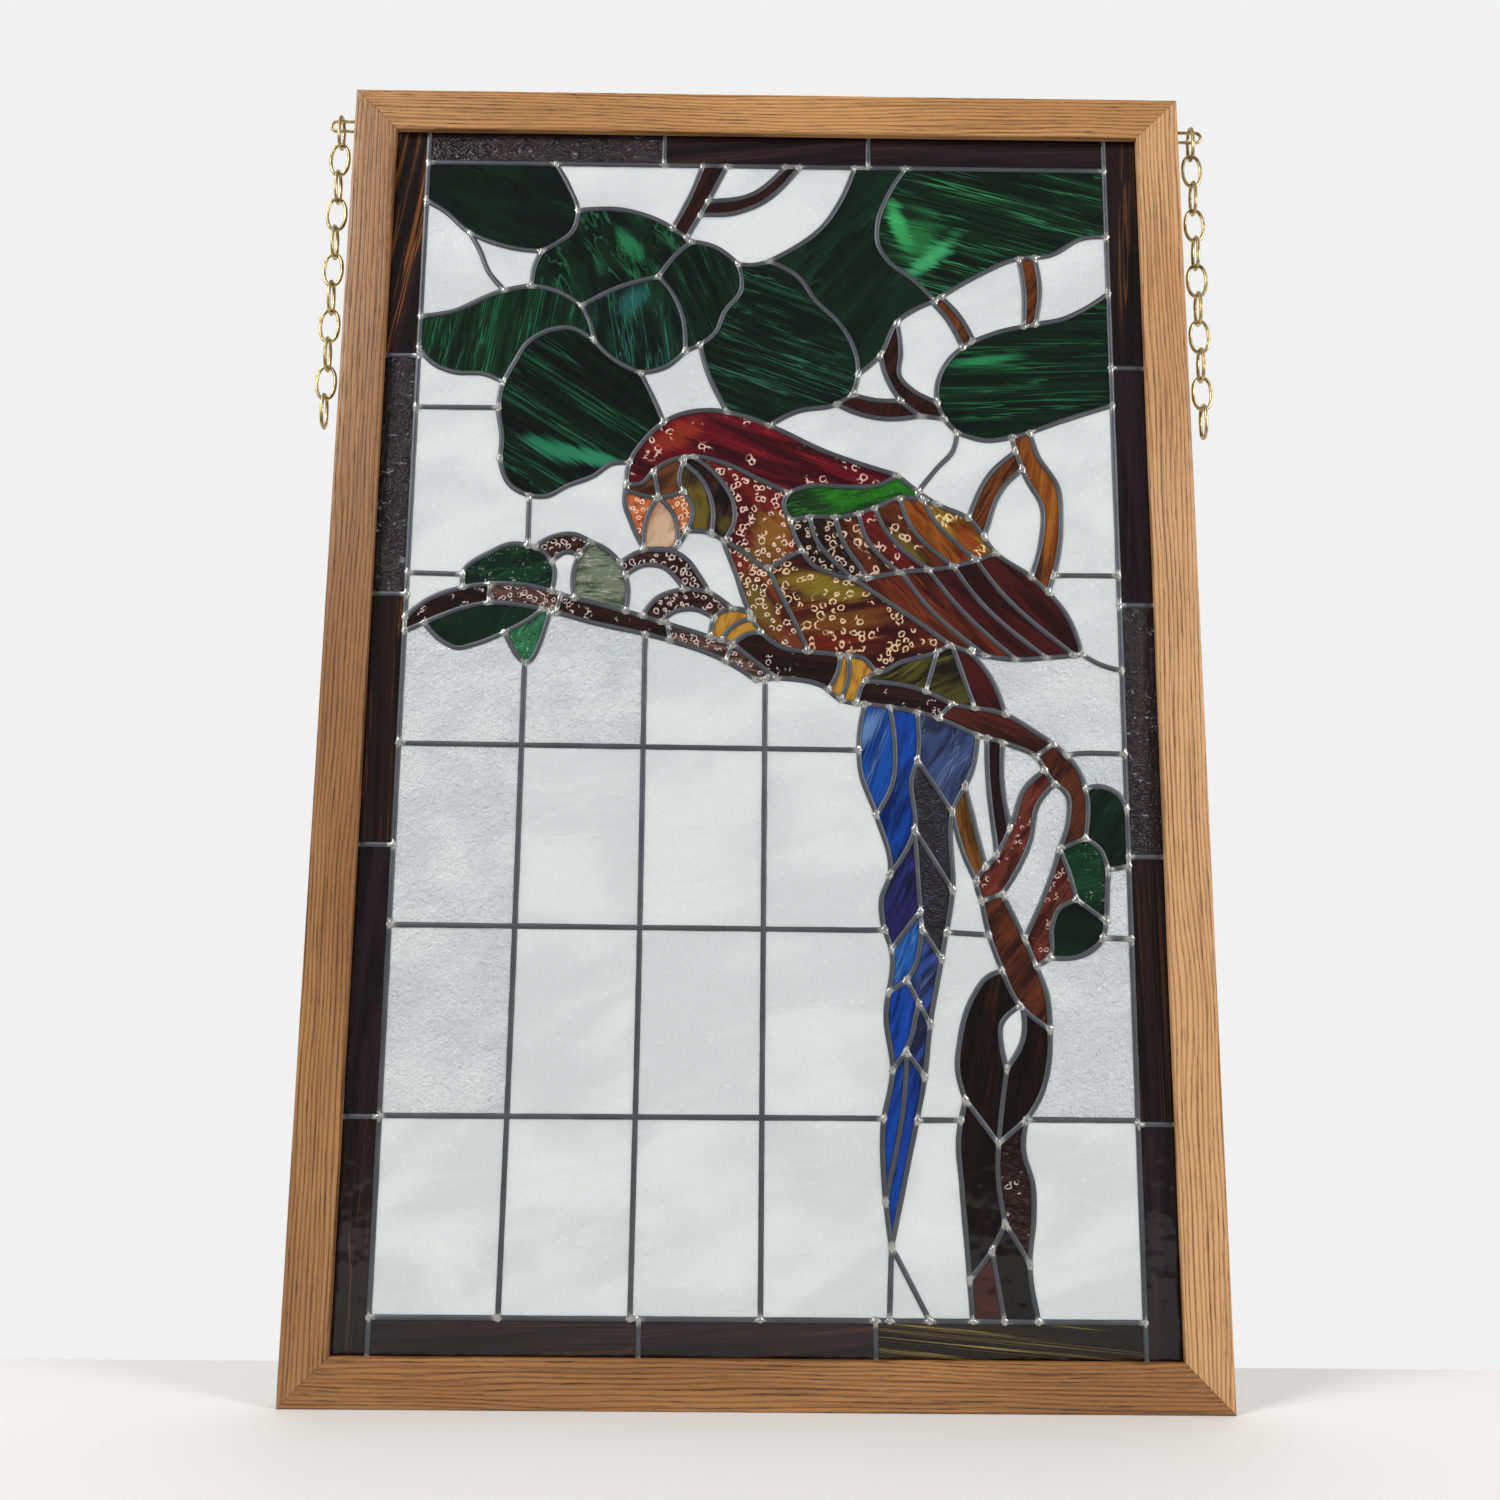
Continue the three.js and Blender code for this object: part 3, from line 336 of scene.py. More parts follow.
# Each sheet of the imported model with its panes: a finish, and a point of the cartoon inside the pane.
PANES = {
    "border_left": [
        ("border_amber", 14, 940), ("border_glinting", 14, 725), ("border_streaked", 14, 510),
        ("border", 14, 290), ("border_streaked", 14, 80),
    ],
    "border_right": [
        ("border_streaked", 656, 940), ("border", 656, 725), ("border_glinting", 656, 505),
        ("border_streaked", 656, 290), ("border", 656, 80),
    ],
    "border_top": [("border_glinting", 130, 1037), ("border_level", 335, 1037), ("border_level", 535, 1037)],
    "border_bottom": [("border_level", 130, 14), ("border_level", 335, 14), ("border_gold", 535, 14)],
    "leaf_upper_left": [("leaf_black", 90, 985)],
    "leaf_streaked_left": [("leaf_crest", 200, 945)],
    "leaf_long_left": [("leaf_upright", 75, 850)],
    "leaf_small_centre": [("leaf_teal", 215, 870)],
    "leaf_large_left": [("leaf_banded", 160, 790)],
    "leaf_narrow_centre": [("leaf_slanted", 290, 900)],
    "leaf_tall_centre": [("leaf_plain", 410, 920)],
    "leaf_large_centre": [("leaf_wispy", 350, 850)],
    "leaf_upper_right": [("leaf_flared", 540, 980)],
    "leaf_right": [("leaf_swept", 570, 820)],
    "sky_top_with_twigs": [
        ("sky", 210, 1000), ("twig_wine", 273, 985), ("sky", 310, 1010), ("twig_wine", 320, 988),
        ("sky", 350, 970),
    ],
    "sky_left_strip": [("sky", 50, 930), ("sky", 105, 920)],
    "sky_left": [("sky", 60, 805), ("sky", 60, 720), ("sky", 180, 700), ("sky", 45, 622)],
    "sky_centre_gap": [("sky", 255, 800)],
    "sky_above_wing": [("sky", 420, 765), ("sky", 515, 745)],
    "sky_right_with_twigs": [
        ("sky", 600, 915), ("twig_amber", 570, 905), ("sky", 540, 890), ("twig_amber", 500, 878),
        ("sky", 475, 855),
    ],
    "twig_hooked": [("twig_wine", 448, 840), ("sky", 428, 815), ("twig_wine", 430, 791)],
    "twig_forked": [("twig_amber", 535, 715), ("twig_orange", 583, 700), ("sky", 553, 680)],
    "sky_right": [
        ("sky", 620, 700), ("sky", 615, 600), ("sky_glinting", 600, 530), ("sky_glinting", 622, 470),
    ],
    "sky_lower_right": [("sky_glinting", 632, 360), ("sky_glinting", 600, 250), ("sky", 600, 100)],
    "sky_column_1": [
        ("sky_glinting", 80, 530), ("sky_glinting", 80, 410), ("sky_glinting", 80, 260), ("sky", 80, 100),
    ],
    "sky_column_2": [("sky_glinting", 185, 530), ("sky", 185, 410), ("sky", 185, 260), ("sky", 185, 100)],
    "sky_column_3": [("sky", 285, 530), ("sky", 285, 410), ("sky", 285, 260), ("sky", 285, 100)],
    "sky_column_4": [("sky", 380, 515), ("sky", 385, 410), ("sky", 385, 260), ("sky", 385, 100)],
    "sky_beside_tail": [("sky", 450, 50), ("sky", 480, 100), ("sky", 482, 250), ("sky", 503, 360)],
    "sky_with_vine": [
        ("amber_strip", 506, 415), ("sky", 520, 440), ("vine", 531, 450), ("sky_glinting", 552, 475),
    ],
    "sky_between_arms": [("sky_glinting", 572, 420)],
    "sky_below_beak": [("sky", 285, 655)],
    "arcs_above_branch": [
        ("leaf_hammered", 105, 640), ("arc", 165, 664), ("sky", 162, 640), ("ripple", 195, 640),
        ("arc", 245, 652), ("sky", 240, 625), ("arc", 265, 614), ("sky", 270, 598),
    ],
    "leaves_below_branch": [("leaf_plain", 90, 592), ("leaf_emerald", 132, 580)],
    "macaw_crown": [("crown", 290, 765)],
    "macaw_head": [
        ("face_brown", 229, 716), ("face_brown", 252, 728), ("face_olive", 278, 700),
        ("face_black", 297, 700), ("beak", 226, 690), ("beak_pale", 246, 675), ("beak", 262, 692),
    ],
    "macaw_neck": [("neck", 330, 690)],
    "macaw_breast": [("breast", 330, 620), ("belly", 400, 600)],
    "wing_shoulder": [("shoulder", 400, 705)],
    "wing_coverts": [
        ("covert_dark", 372, 672), ("covert_dark", 391, 672), ("covert_brown", 411, 675),
        ("covert_wine", 432, 676), ("covert_brown", 450, 684), ("covert_amber", 472, 686),
        ("covert_gold", 500, 680),
    ],
    "wing_primaries": [
        ("primary_red", 455, 618), ("primary_red", 485, 617), ("primary_wine", 509, 617),
        ("primary_wine", 533, 617), ("primary_wine", 562, 620),
    ],
    "tail_coverts": [("covert_olive", 460, 550), ("covert_olive", 493, 550), ("primary_wine", 518, 550)],
    "tail_feathers": [
        ("cobalt_pale", 431, 490), ("cobalt", 455, 440), ("slate", 490, 490), ("night", 478, 430),
        ("violet", 450, 365), ("night", 478, 350), ("azure", 455, 318), ("slate_blue", 466, 300),
        ("cobalt", 449, 262), ("slate_blue", 465, 247), ("cobalt", 445, 190), ("cobalt", 458, 195),
    ],
    "foot_left": [("foot", 303, 598), ("foot", 317, 590)],
    "foot_right": [("foot", 403, 550), ("foot", 415, 550)],
    "branch": [
        ("bark", 65, 609), ("bark_rippled", 130, 618), ("bark", 205, 597), ("bark_rippled", 280, 583),
        ("bark_rippled", 322, 558), ("bark", 350, 560),
    ],
    "branch_right": [("bark", 450, 530), ("bark_red", 535, 506), ("bark_brown", 592, 450)],
    "trunk": [
        ("arm", 545, 400), ("arm", 585, 380), ("bark_brown", 548, 310), ("bark_deep", 515, 240),
        ("sky", 541, 250), ("bark_deep", 560, 240), ("bark_deep", 513, 120), ("bark", 542, 130),
        ("bark_red", 515, 50), ("bark_black", 540, 60),
    ],
    "leaves_lower_right": [("leaf_plain", 620, 430), ("leaf_hammered", 606, 380), ("leaf_black", 597, 338)],
}

# The record's finish slot of each sheet.
SLOTS = {
    "border_glass": ("border_left", "border_right", "border_top", "border_bottom"),
    "leaf_glass": (
        "leaf_upper_left", "leaf_streaked_left", "leaf_long_left", "leaf_small_centre", "leaf_large_left",
        "leaf_narrow_centre", "leaf_tall_centre", "leaf_large_centre", "leaf_upper_right", "leaf_right",
        "leaves_below_branch", "leaves_lower_right",
    ),
    "ripple_glass": ("arcs_above_branch",),
    "wine_glass": ("macaw_crown",),
    "orange_glass": ("macaw_head",),
    "hammered_glass": ("macaw_neck", "macaw_breast"),
    "bright_green_glass": ("wing_shoulder",),
    "feather_glass": ("wing_coverts", "wing_primaries", "tail_coverts"),
    "blue_glass": ("tail_feathers",),
    "amber_glass": ("foot_left", "foot_right"),
    "branch_glass": ("twig_hooked", "branch", "branch_right", "trunk"),
}


def rgb(code, gain=1.0):
    """A screen colour such as "#3a2b1c" as the linear values that a shader takes, times a gain."""
    channels = np.array([int(code[i:i + 2], 16) for i in (1, 3, 5)]) / 255
    linear = np.where(channels > 0.04045, ((channels + 0.055) / 1.055) ** 2.4, channels / 12.92)
    return (*(linear * gain), 1.0)


def on_panel(points):
    """Cartoon points as millimetres across and up in the window's own frame."""
    return np.asarray(points, float) + (SIGHT_LEFT, SIGHT_FOOT)


class Wire:
    """A shader socket that Python's arithmetic works on. Each operation adds a Math or Vector Math node."""

    def __init__(self, graph, socket):
        self.graph = graph
        self.socket = socket

    def is_vector(self):
        """Whether the socket holds three numbers."""
        return self.socket.type in {"VECTOR", "RGBA"}

    def operate(self, operation, *values):
        """The result of one Math node, or of one Vector Math node where any value is a vector."""
        vector = any(v.is_vector() for v in values if isinstance(v, Wire))
        kind = "ShaderNodeVectorMath" if vector else "ShaderNodeMath"
        if vector:
            values = [(v, v, v) if isinstance(v, (int, float)) else v for v in values]
        return self.graph.node(kind, {"operation": operation}, dict(enumerate(values))).out(0)

    def __add__(self, other):
        return self.operate("ADD", self, other)

    def __radd__(self, other):
        return self.operate("ADD", other, self)

    def __sub__(self, other):
        return self.operate("SUBTRACT", self, other)

    def __rsub__(self, other):
        return self.operate("SUBTRACT", other, self)

    def __mul__(self, other):
        return self.operate("MULTIPLY", self, other)

    def __rmul__(self, other):
        return self.operate("MULTIPLY", other, self)

    def __truediv__(self, other):
        return self.operate("DIVIDE", self, other)

    def __abs__(self):
        return self.operate("ABSOLUTE", self)

    def apart(self):
        """The three parts of a vector."""
        parts = self.graph.node("ShaderNodeSeparateXYZ", {}, {0: self})
        return [parts.out(i) for i in range(3)]

    def step(self, low, high, start=0.0, end=1.0):
        """Rises smoothly from start to end while this value goes from low to high."""
        settings = {"interpolation_type": "SMOOTHSTEP"}
        values = {"Value": self, "From Min": low, "From Max": high, "To Min": start, "To Max": end}
        return self.graph.node("ShaderNodeMapRange", settings, values).out("Result")


class Made:
    """A node that is already in the graph."""

    def __init__(self, graph, node):
        self.graph = graph
        self.node = node

    def out(self, key):
        return Wire(self.graph, self.node.outputs[key])


class Finish:
    """A material with its node graph. Its surface is one Principled shader."""

    def __init__(self, name, constants):
        self.material = bpy.data.materials.new(name)
        self.material.use_nodes = True
        self.tree = self.material.node_tree
        self.tree.nodes.clear()
        self.shader = self.node("ShaderNodeBsdfPrincipled", {}, constants)
        self.node("ShaderNodeOutputMaterial", {}, {"Surface": self.shader.out("BSDF")})

    def node(self, kind, settings, values):
        """Adds a node: first its settings, then a value or a link for each socket that is named."""
        node = self.tree.nodes.new(kind)
        for key, value in settings.items():
            setattr(node, key, value)
        for key, value in values.items():
            if isinstance(value, Wire):
                self.tree.links.new(value.socket, node.inputs[key])
            else:
                node.inputs[key].default_value = value
        return Made(self, node)

    def surface(self, **links):
        """Links the shader's sockets, which are named with underscores for spaces."""
        for key, value in links.items():
            self.tree.links.new(value.socket, self.shader.node.inputs[key.replace("_", " ")])

    def place(self):
        """The point on the object, in millimetres."""
        return self.node("ShaderNodeTexCoord", {}, {}).out("Object") * (1 / MM)

    def attribute(self, name, output):
        """A value that the mesh carries at each point."""
        return self.node("ShaderNodeAttribute", {"attribute_name": name}, {}).out(output)

    def noise(self, vector, detail=2.0, distortion=0.0, roughness=0.5):
        """A smooth random value from 0 to 1. It changes about once in each whole unit of the vector."""
        values = {"Vector": vector, "Scale": 1.0, "Detail": detail, "Distortion": distortion}
        values["Roughness"] = roughness
        return self.node("ShaderNodeTexNoise", {}, values).out(0)

    def cells(self, vector):
        """The distance to the nearest point of a scattered grid. The vector's first two parts count."""
        values = {"Vector": vector, "Scale": 1.0}
        return self.node("ShaderNodeTexVoronoi", {"voronoi_dimensions": "2D"}, values).out("Distance")

    def mix(self, share, first, second):
        """A colour that goes from the first to the second as the share goes from 0 to 1."""
        values = {0: share, 6: first, 7: second}
        return self.node("ShaderNodeMix", {"data_type": "RGBA"}, values).out(2)

    def turn(self, vector, axis, angle):
        """The vector turned about an axis of the object by an angle in radians."""
        values = {"Vector": vector, "Angle": angle}
        return self.node("ShaderNodeVectorRotate", {"rotation_type": axis + "_AXIS"}, values).out(0)

    def bump(self, height, distance):
        """A normal from a height. The distance is how far one whole unit of it stands out, in metres."""
        values = {"Height": height, "Distance": distance, "Strength": 1.0}
        return self.node("ShaderNodeBump", {}, values).out(0)


# Glass finishes. Each has three screen colours (the darkest, the body and the wisps), the share of the body
# and of the wisps, and the length, width and slope of the streaks. Spots are broad areas of another colour:
# a point of the cartoon, the reach along and across, the slope, the colour and how strong it is. Rings are
# painted highlights, the glints on the rims of dimples: their spacing, how many of them show and their
# colour.
# Flecks are fine specks of painted glint: their size, how many show and their colour.
GLASS = {}


def glass(name, dark, body, wisp, cover, wisps, streak, slope, spots=(), through=0.3, rough=0.12,
          relief="smooth", rings=None, glint_flecks=None):
    """Adds a finish to the list. Through is the share of light that the glass lets through."""
    GLASS[name] = dict(
        dark=dark, body=body, wisp=wisp, cover=cover, wisps=wisps, streak=streak, slope=slope, spots=spots,
        through=through, rough=rough, relief=relief, rings=rings, glint_flecks=glint_flecks,
    )


glass("sky", "#e2e6e6", "#f0f2f2", "#fbfcfb", 0.5, 0.25, (120, 60), 15, through=0.5, rough=0.2, relief="soft",
      glint_flecks=(4.0, 0.7, "#fbfcfb"))
glass("sky_glinting", "#dbe0e2", "#ebeeee", "#fbfcfb", 0.5, 0.25, (90, 50), 20, through=0.5, rough=0.14,
      relief="granite", glint_flecks=(5.0, 1.0, "#ffffff"))
glass("border", "#140d11", "#26191f", "#4a3130", 0.5, 0.25, (160, 14), 88, glint_flecks=(3.0, 0.12, "#6b5a5c"))
glass("border_streaked", "#130c0e", "#261719", "#7c4e2c", 0.45, 0.55, (260, 9), 88)
glass("border_amber", "#170e10", "#2b191a", "#a0622c", 0.45, 0.8, (300, 12), 86)
glass("border_glinting", "#140d11", "#281a1f", "#43302c", 0.5, 0.25, (160, 14), 88, relief="granite",
      glint_flecks=(6.0, 0.8, "#c9ccd4"))
glass("border_level", "#140d11", "#291b20", "#60402e", 0.5, 0.4, (220, 8), 2, glint_flecks=(3.0, 0.15, "#6b5a5c"))
glass("border_gold", "#100b08", "#241809", "#a9924e", 0.4, 0.8, (420, 5), 0)
glass("leaf_black", "#07120d", "#0d2018", "#1f4a33", 0.45, 0.25, (70, 20), -25)
glass("leaf_plain", "#08170f", "#0e281a", "#22573a", 0.5, 0.3, (90, 22), 55)
glass("leaf_crest", "#06120c", "#0d2819", "#35905f", 0.45, 0.45, (34, 16), -60,
      spots=((212, 945, 22, 9, -55, "#2f8f5c", 0.6),))
glass("leaf_upright", "#081a10", "#0f301d", "#37966a", 0.5, 0.5, (80, 7), 84)
glass("leaf_teal", "#07140f", "#10301f", "#3f8f80", 0.5, 0.6, (50, 8), 105,
      spots=((216, 890, 20, 12, 60, "#2c6e66", 0.6),))
glass("leaf_banded", "#040b08", "#091a11", "#2b8058", 0.45, 0.5, (110, 8), -32,
      spots=((175, 745, 62, 9, -14, "#2f8c66", 0.9), (150, 750, 30, 12, -20, "#2a7a5a", 0.6)))
glass("leaf_slanted", "#05110c", "#0b2316", "#2a7450", 0.5, 0.5, (60, 7), -65)
glass("leaf_wispy", "#06120d", "#0c2519", "#3f8f74", 0.45, 0.5, (80, 7), -18)
glass("leaf_flared", "#06120c", "#0d2817", "#4fc27e", 0.45, 0.45, (110, 9), -16,
      spots=((455, 965, 34, 10, -70, "#3fae62", 0.95), (482, 935, 38, 11, 40, "#46b273", 0.9),
             (470, 950, 26, 30, 0, "#2f8a4c", 0.6)))
glass("leaf_swept", "#06120d", "#0c2417", "#2f9158", 0.45, 0.5, (130, 9), 8,
      spots=((530, 838, 40, 6, 6, "#2f9a5e", 0.7),))
glass("leaf_emerald", "#0c3a23", "#176b3f", "#3fbf7a", 0.6, 0.4, (40, 14), 50, relief="granite")
glass("leaf_hammered", "#0a1f14", "#113721", "#2f7a4a", 0.5, 0.3, (50, 16), 20, relief="rippled",
      glint_flecks=(4.0, 0.7, "#dfe8e2"))
glass("ripple", "#3b4a36", "#79836e", "#cfd0c2", 0.6, 0.6, (26, 5), 0, through=0.4, relief="rippled",
      glint_flecks=(3.5, 0.8, "#eef0e2"))
glass("arc", "#24100f", "#3c1e1b", "#7a5a50", 0.5, 0.3, (24, 8), 0, relief="hammered",
      rings=(7, 0.8, "#e0ccc4"))
glass("crown", "#34060f", "#6a0c1f", "#b23226", 0.5, 0.4, (90, 10), -22, rings=(9, 0.2, "#f0c8b8"),
      spots=((255, 762, 34, 12, 35, "#a23a1e", 0.6),), relief="dimpled")
glass("neck", "#4a0d14", "#74201d", "#a04a2a", 0.55, 0.3, (70, 16), -45, relief="hammered",
      spots=((345, 675, 26, 20, -60, "#8c6428", 0.9), (330, 655, 26, 14, 0, "#80602a", 0.7)),
      rings=(7.5, 0.65, "#f6d6c2"))
glass("breast", "#4c1b14", "#743a20", "#a0703a", 0.55, 0.4, (50, 16), -60, relief="hammered",
      spots=((333, 610, 30, 12, -60, "#746a28", 0.6), (312, 648, 14, 12, 0, "#74221f", 0.8)),
      rings=(7.5, 0.6, "#f6dcc0"))
glass("belly", "#320a10", "#562012", "#94602a", 0.5, 0.4, (90, 14), 16, relief="hammered",
      rings=(8.5, 0.4, "#f0cfa4"),
      spots=((385, 630, 44, 14, -10, "#8a7a26", 0.85), (400, 598, 60, 10, 10, "#8a5a22", 0.5),
             (380, 578, 70, 8, 5, "#7a2218", 0.6)))
glass("face_brown", "#3a1d12", "#6b3d22", "#9a6a3a", 0.5, 0.3, (30, 10), 40)
glass("face_olive", "#3a3214", "#6b5c24", "#8a7a3a", 0.5, 0.3, (40, 8), 80,
      spots=((274, 728, 10, 14, 0, "#2a1a14", 0.8),))
glass("face_black", "#140a0a", "#2a1614", "#6b5a34", 0.5, 0.3, (30, 8), 70, relief="hammered",
      spots=((300, 684, 8, 10, 0, "#5c5020", 0.7),))
glass("beak", "#8c3c1f", "#c66c3c", "#e8946a", 0.6, 0.5, (16, 5), 60, through=0.35, relief="hammered",
      rings=(6.5, 0.8, "#ffe2cc"))
glass("beak_pale", "#b98a6a", "#d8b898", "#e8d8c4", 0.6, 0.4, (30, 12), 70, through=0.4)
glass("shoulder", "#0f3a0e", "#21701a", "#48a02e", 0.6, 0.4, (40, 8), 10, relief="rippled",
      spots=((364, 702, 36, 22, 0, "#16281a", 0.9), (390, 696, 46, 9, 0, "#1c4018", 0.6)),
      glint_flecks=(3.0, 0.6, "#9ccc7c"))
glass("covert_dark", "#140b09", "#2c1a12", "#8a6a4a", 0.5, 0.35, (20, 8), -50, relief="hammered",
      rings=(7.5, 0.6, "#e0c4b0"))
glass("covert_brown", "#2a110c", "#5c2c18", "#9a5a2c", 0.5, 0.4, (50, 9), -50, relief="dimpled",
      spots=((462, 660, 30, 9, -50, "#7a7024", 0.6),),
      rings=(10, 0.5, "#eac8ac"))
glass("covert_wine", "#380c10", "#681a1a", "#9a3a24", 0.5, 0.35, (50, 9), -50, relief="dimpled",
      rings=(9, 0.55, "#eac0b0"))
glass("covert_amber", "#5c240e", "#94501a", "#c08432", 0.55, 0.5, (60, 8), -50)
glass("covert_gold", "#5c2a12", "#9a7a24", "#d0a83a", 0.5, 0.5, (50, 12), -45, relief="dimpled",
      spots=((515, 668, 24, 10, -45, "#a04a1c", 0.7),),
      rings=(12, 0.35, "#f4dc9c"))
glass("primary_red", "#3a120c", "#6b2a18", "#a0522a", 0.5, 0.45, (90, 9), -42)
glass("primary_wine", "#260a0c", "#481416", "#6b2420", 0.5, 0.3, (100, 12), -42)
glass("covert_olive", "#1c160c", "#4c4a1c", "#8a8a3a", 0.5, 0.4, (50, 10), 25,
      spots=((500, 560, 14, 22, 0, "#12100e", 0.7),))
glass("cobalt_pale", "#0a2b70", "#1850a8", "#84a8d0", 0.6, 0.5, (70, 7), 70,
      spots=((425, 505, 24, 8, 60, "#6f92c0", 0.8),))
glass("cobalt", "#08225f", "#1244a4", "#3a74c8", 0.55, 0.4, (70, 9), 75)
glass("azure", "#123f86", "#2462b0", "#78a8d8", 0.6, 0.5, (50, 8), 70)
glass("slate", "#232c48", "#3c4c78", "#7c8cb4", 0.55, 0.5, (50, 12), 55,
      spots=((480, 508, 26, 9, 10, "#1a1420", 0.7),))
glass("slate_blue", "#1c2240", "#2f4a94", "#7a7c9a", 0.5, 0.4, (40, 8), 60)
glass("night", "#0b0810", "#181220", "#33375c", 0.5, 0.35, (30, 10), 70, relief="granite")
glass("violet", "#17142c", "#26245c", "#2f4cb4", 0.5, 0.4, (60, 10), 60)
glass("foot", "#94641e", "#b5852f", "#cfa458", 0.6, 0.4, (20, 6), 70, through=0.1, rough=0.25)
glass("twig_wine", "#1c0c0a", "#341512", "#5c2c1c", 0.5, 0.3, (60, 6), 70)
glass("twig_amber", "#3a1a0e", "#6b3618", "#a0622c", 0.55, 0.45, (60, 6), 60)
glass("twig_orange", "#5c2c10", "#94521c", "#c07c34", 0.6, 0.5, (70, 7), 80,
      spots=((570, 650, 14, 16, 0, "#3a1a10", 0.8),))
glass("vine", "#120a0a", "#221212", "#3c201c", 0.5, 0.2, (60, 6), 85)
glass("amber_strip", "#4c2c12", "#80521f", "#a8782f", 0.6, 0.4, (60, 6), -75)
glass("bark", "#180b0a", "#2c1413", "#4c2820", 0.5, 0.3, (90, 8), -10, relief="dimpled",
      rings=(6, 0.15, "#d8c8c4"))
# The rippled bark's pale body and wisps are partly its own colour and partly painted glints on the ripples;
# its rings are painted glints.
glass("bark_rippled", "#3a2420", "#6b4a40", "#b89a8a", 0.5, 0.5, (24, 5), -12, relief="rippled",
      rings=(6, 0.7, "#e6d0c8"))
glass("bark_red", "#2a100e", "#4c1f19", "#7a3a28", 0.5, 0.4, (90, 9), -20)
glass("bark_brown", "#2c130e", "#582a1a", "#8a4a2a", 0.5, 0.4, (60, 10), 60, relief="soft")
glass("bark_deep", "#0c0505", "#180b09", "#4c2418", 0.45, 0.35, (110, 12), 75)
glass("bark_black", "#060404", "#0c0706", "#221412", 0.5, 0.2, (60, 10), 80)
glass("arm", "#3a1512", "#6b2f24", "#a05c48", 0.5, 0.4, (40, 10), 55, relief="hammered",
      rings=(6, 0.25, "#dcb8a8"))


BAND_OF_MIX = 0.12
STREAK_DEPTH = 40
WISP_HALF_WIDTH = 0.05
# The band of the painted ring glints on the rims of dimples.
GLINT_RIM_OUTER, GLINT_RIM_INNER = 0.11, 0.05
# Where a fine noise rises into the painted fleck glints.
GLINT_FLECK_LOW, GLINT_FLECK_HIGH = 0.6, 0.72
# How far one unit of fine surface noise stands out, in metres.
GRANITE_BUMP, SMOOTH_BUMP, FINE_BUMP = 0.0022, 0.0014, 0.0009


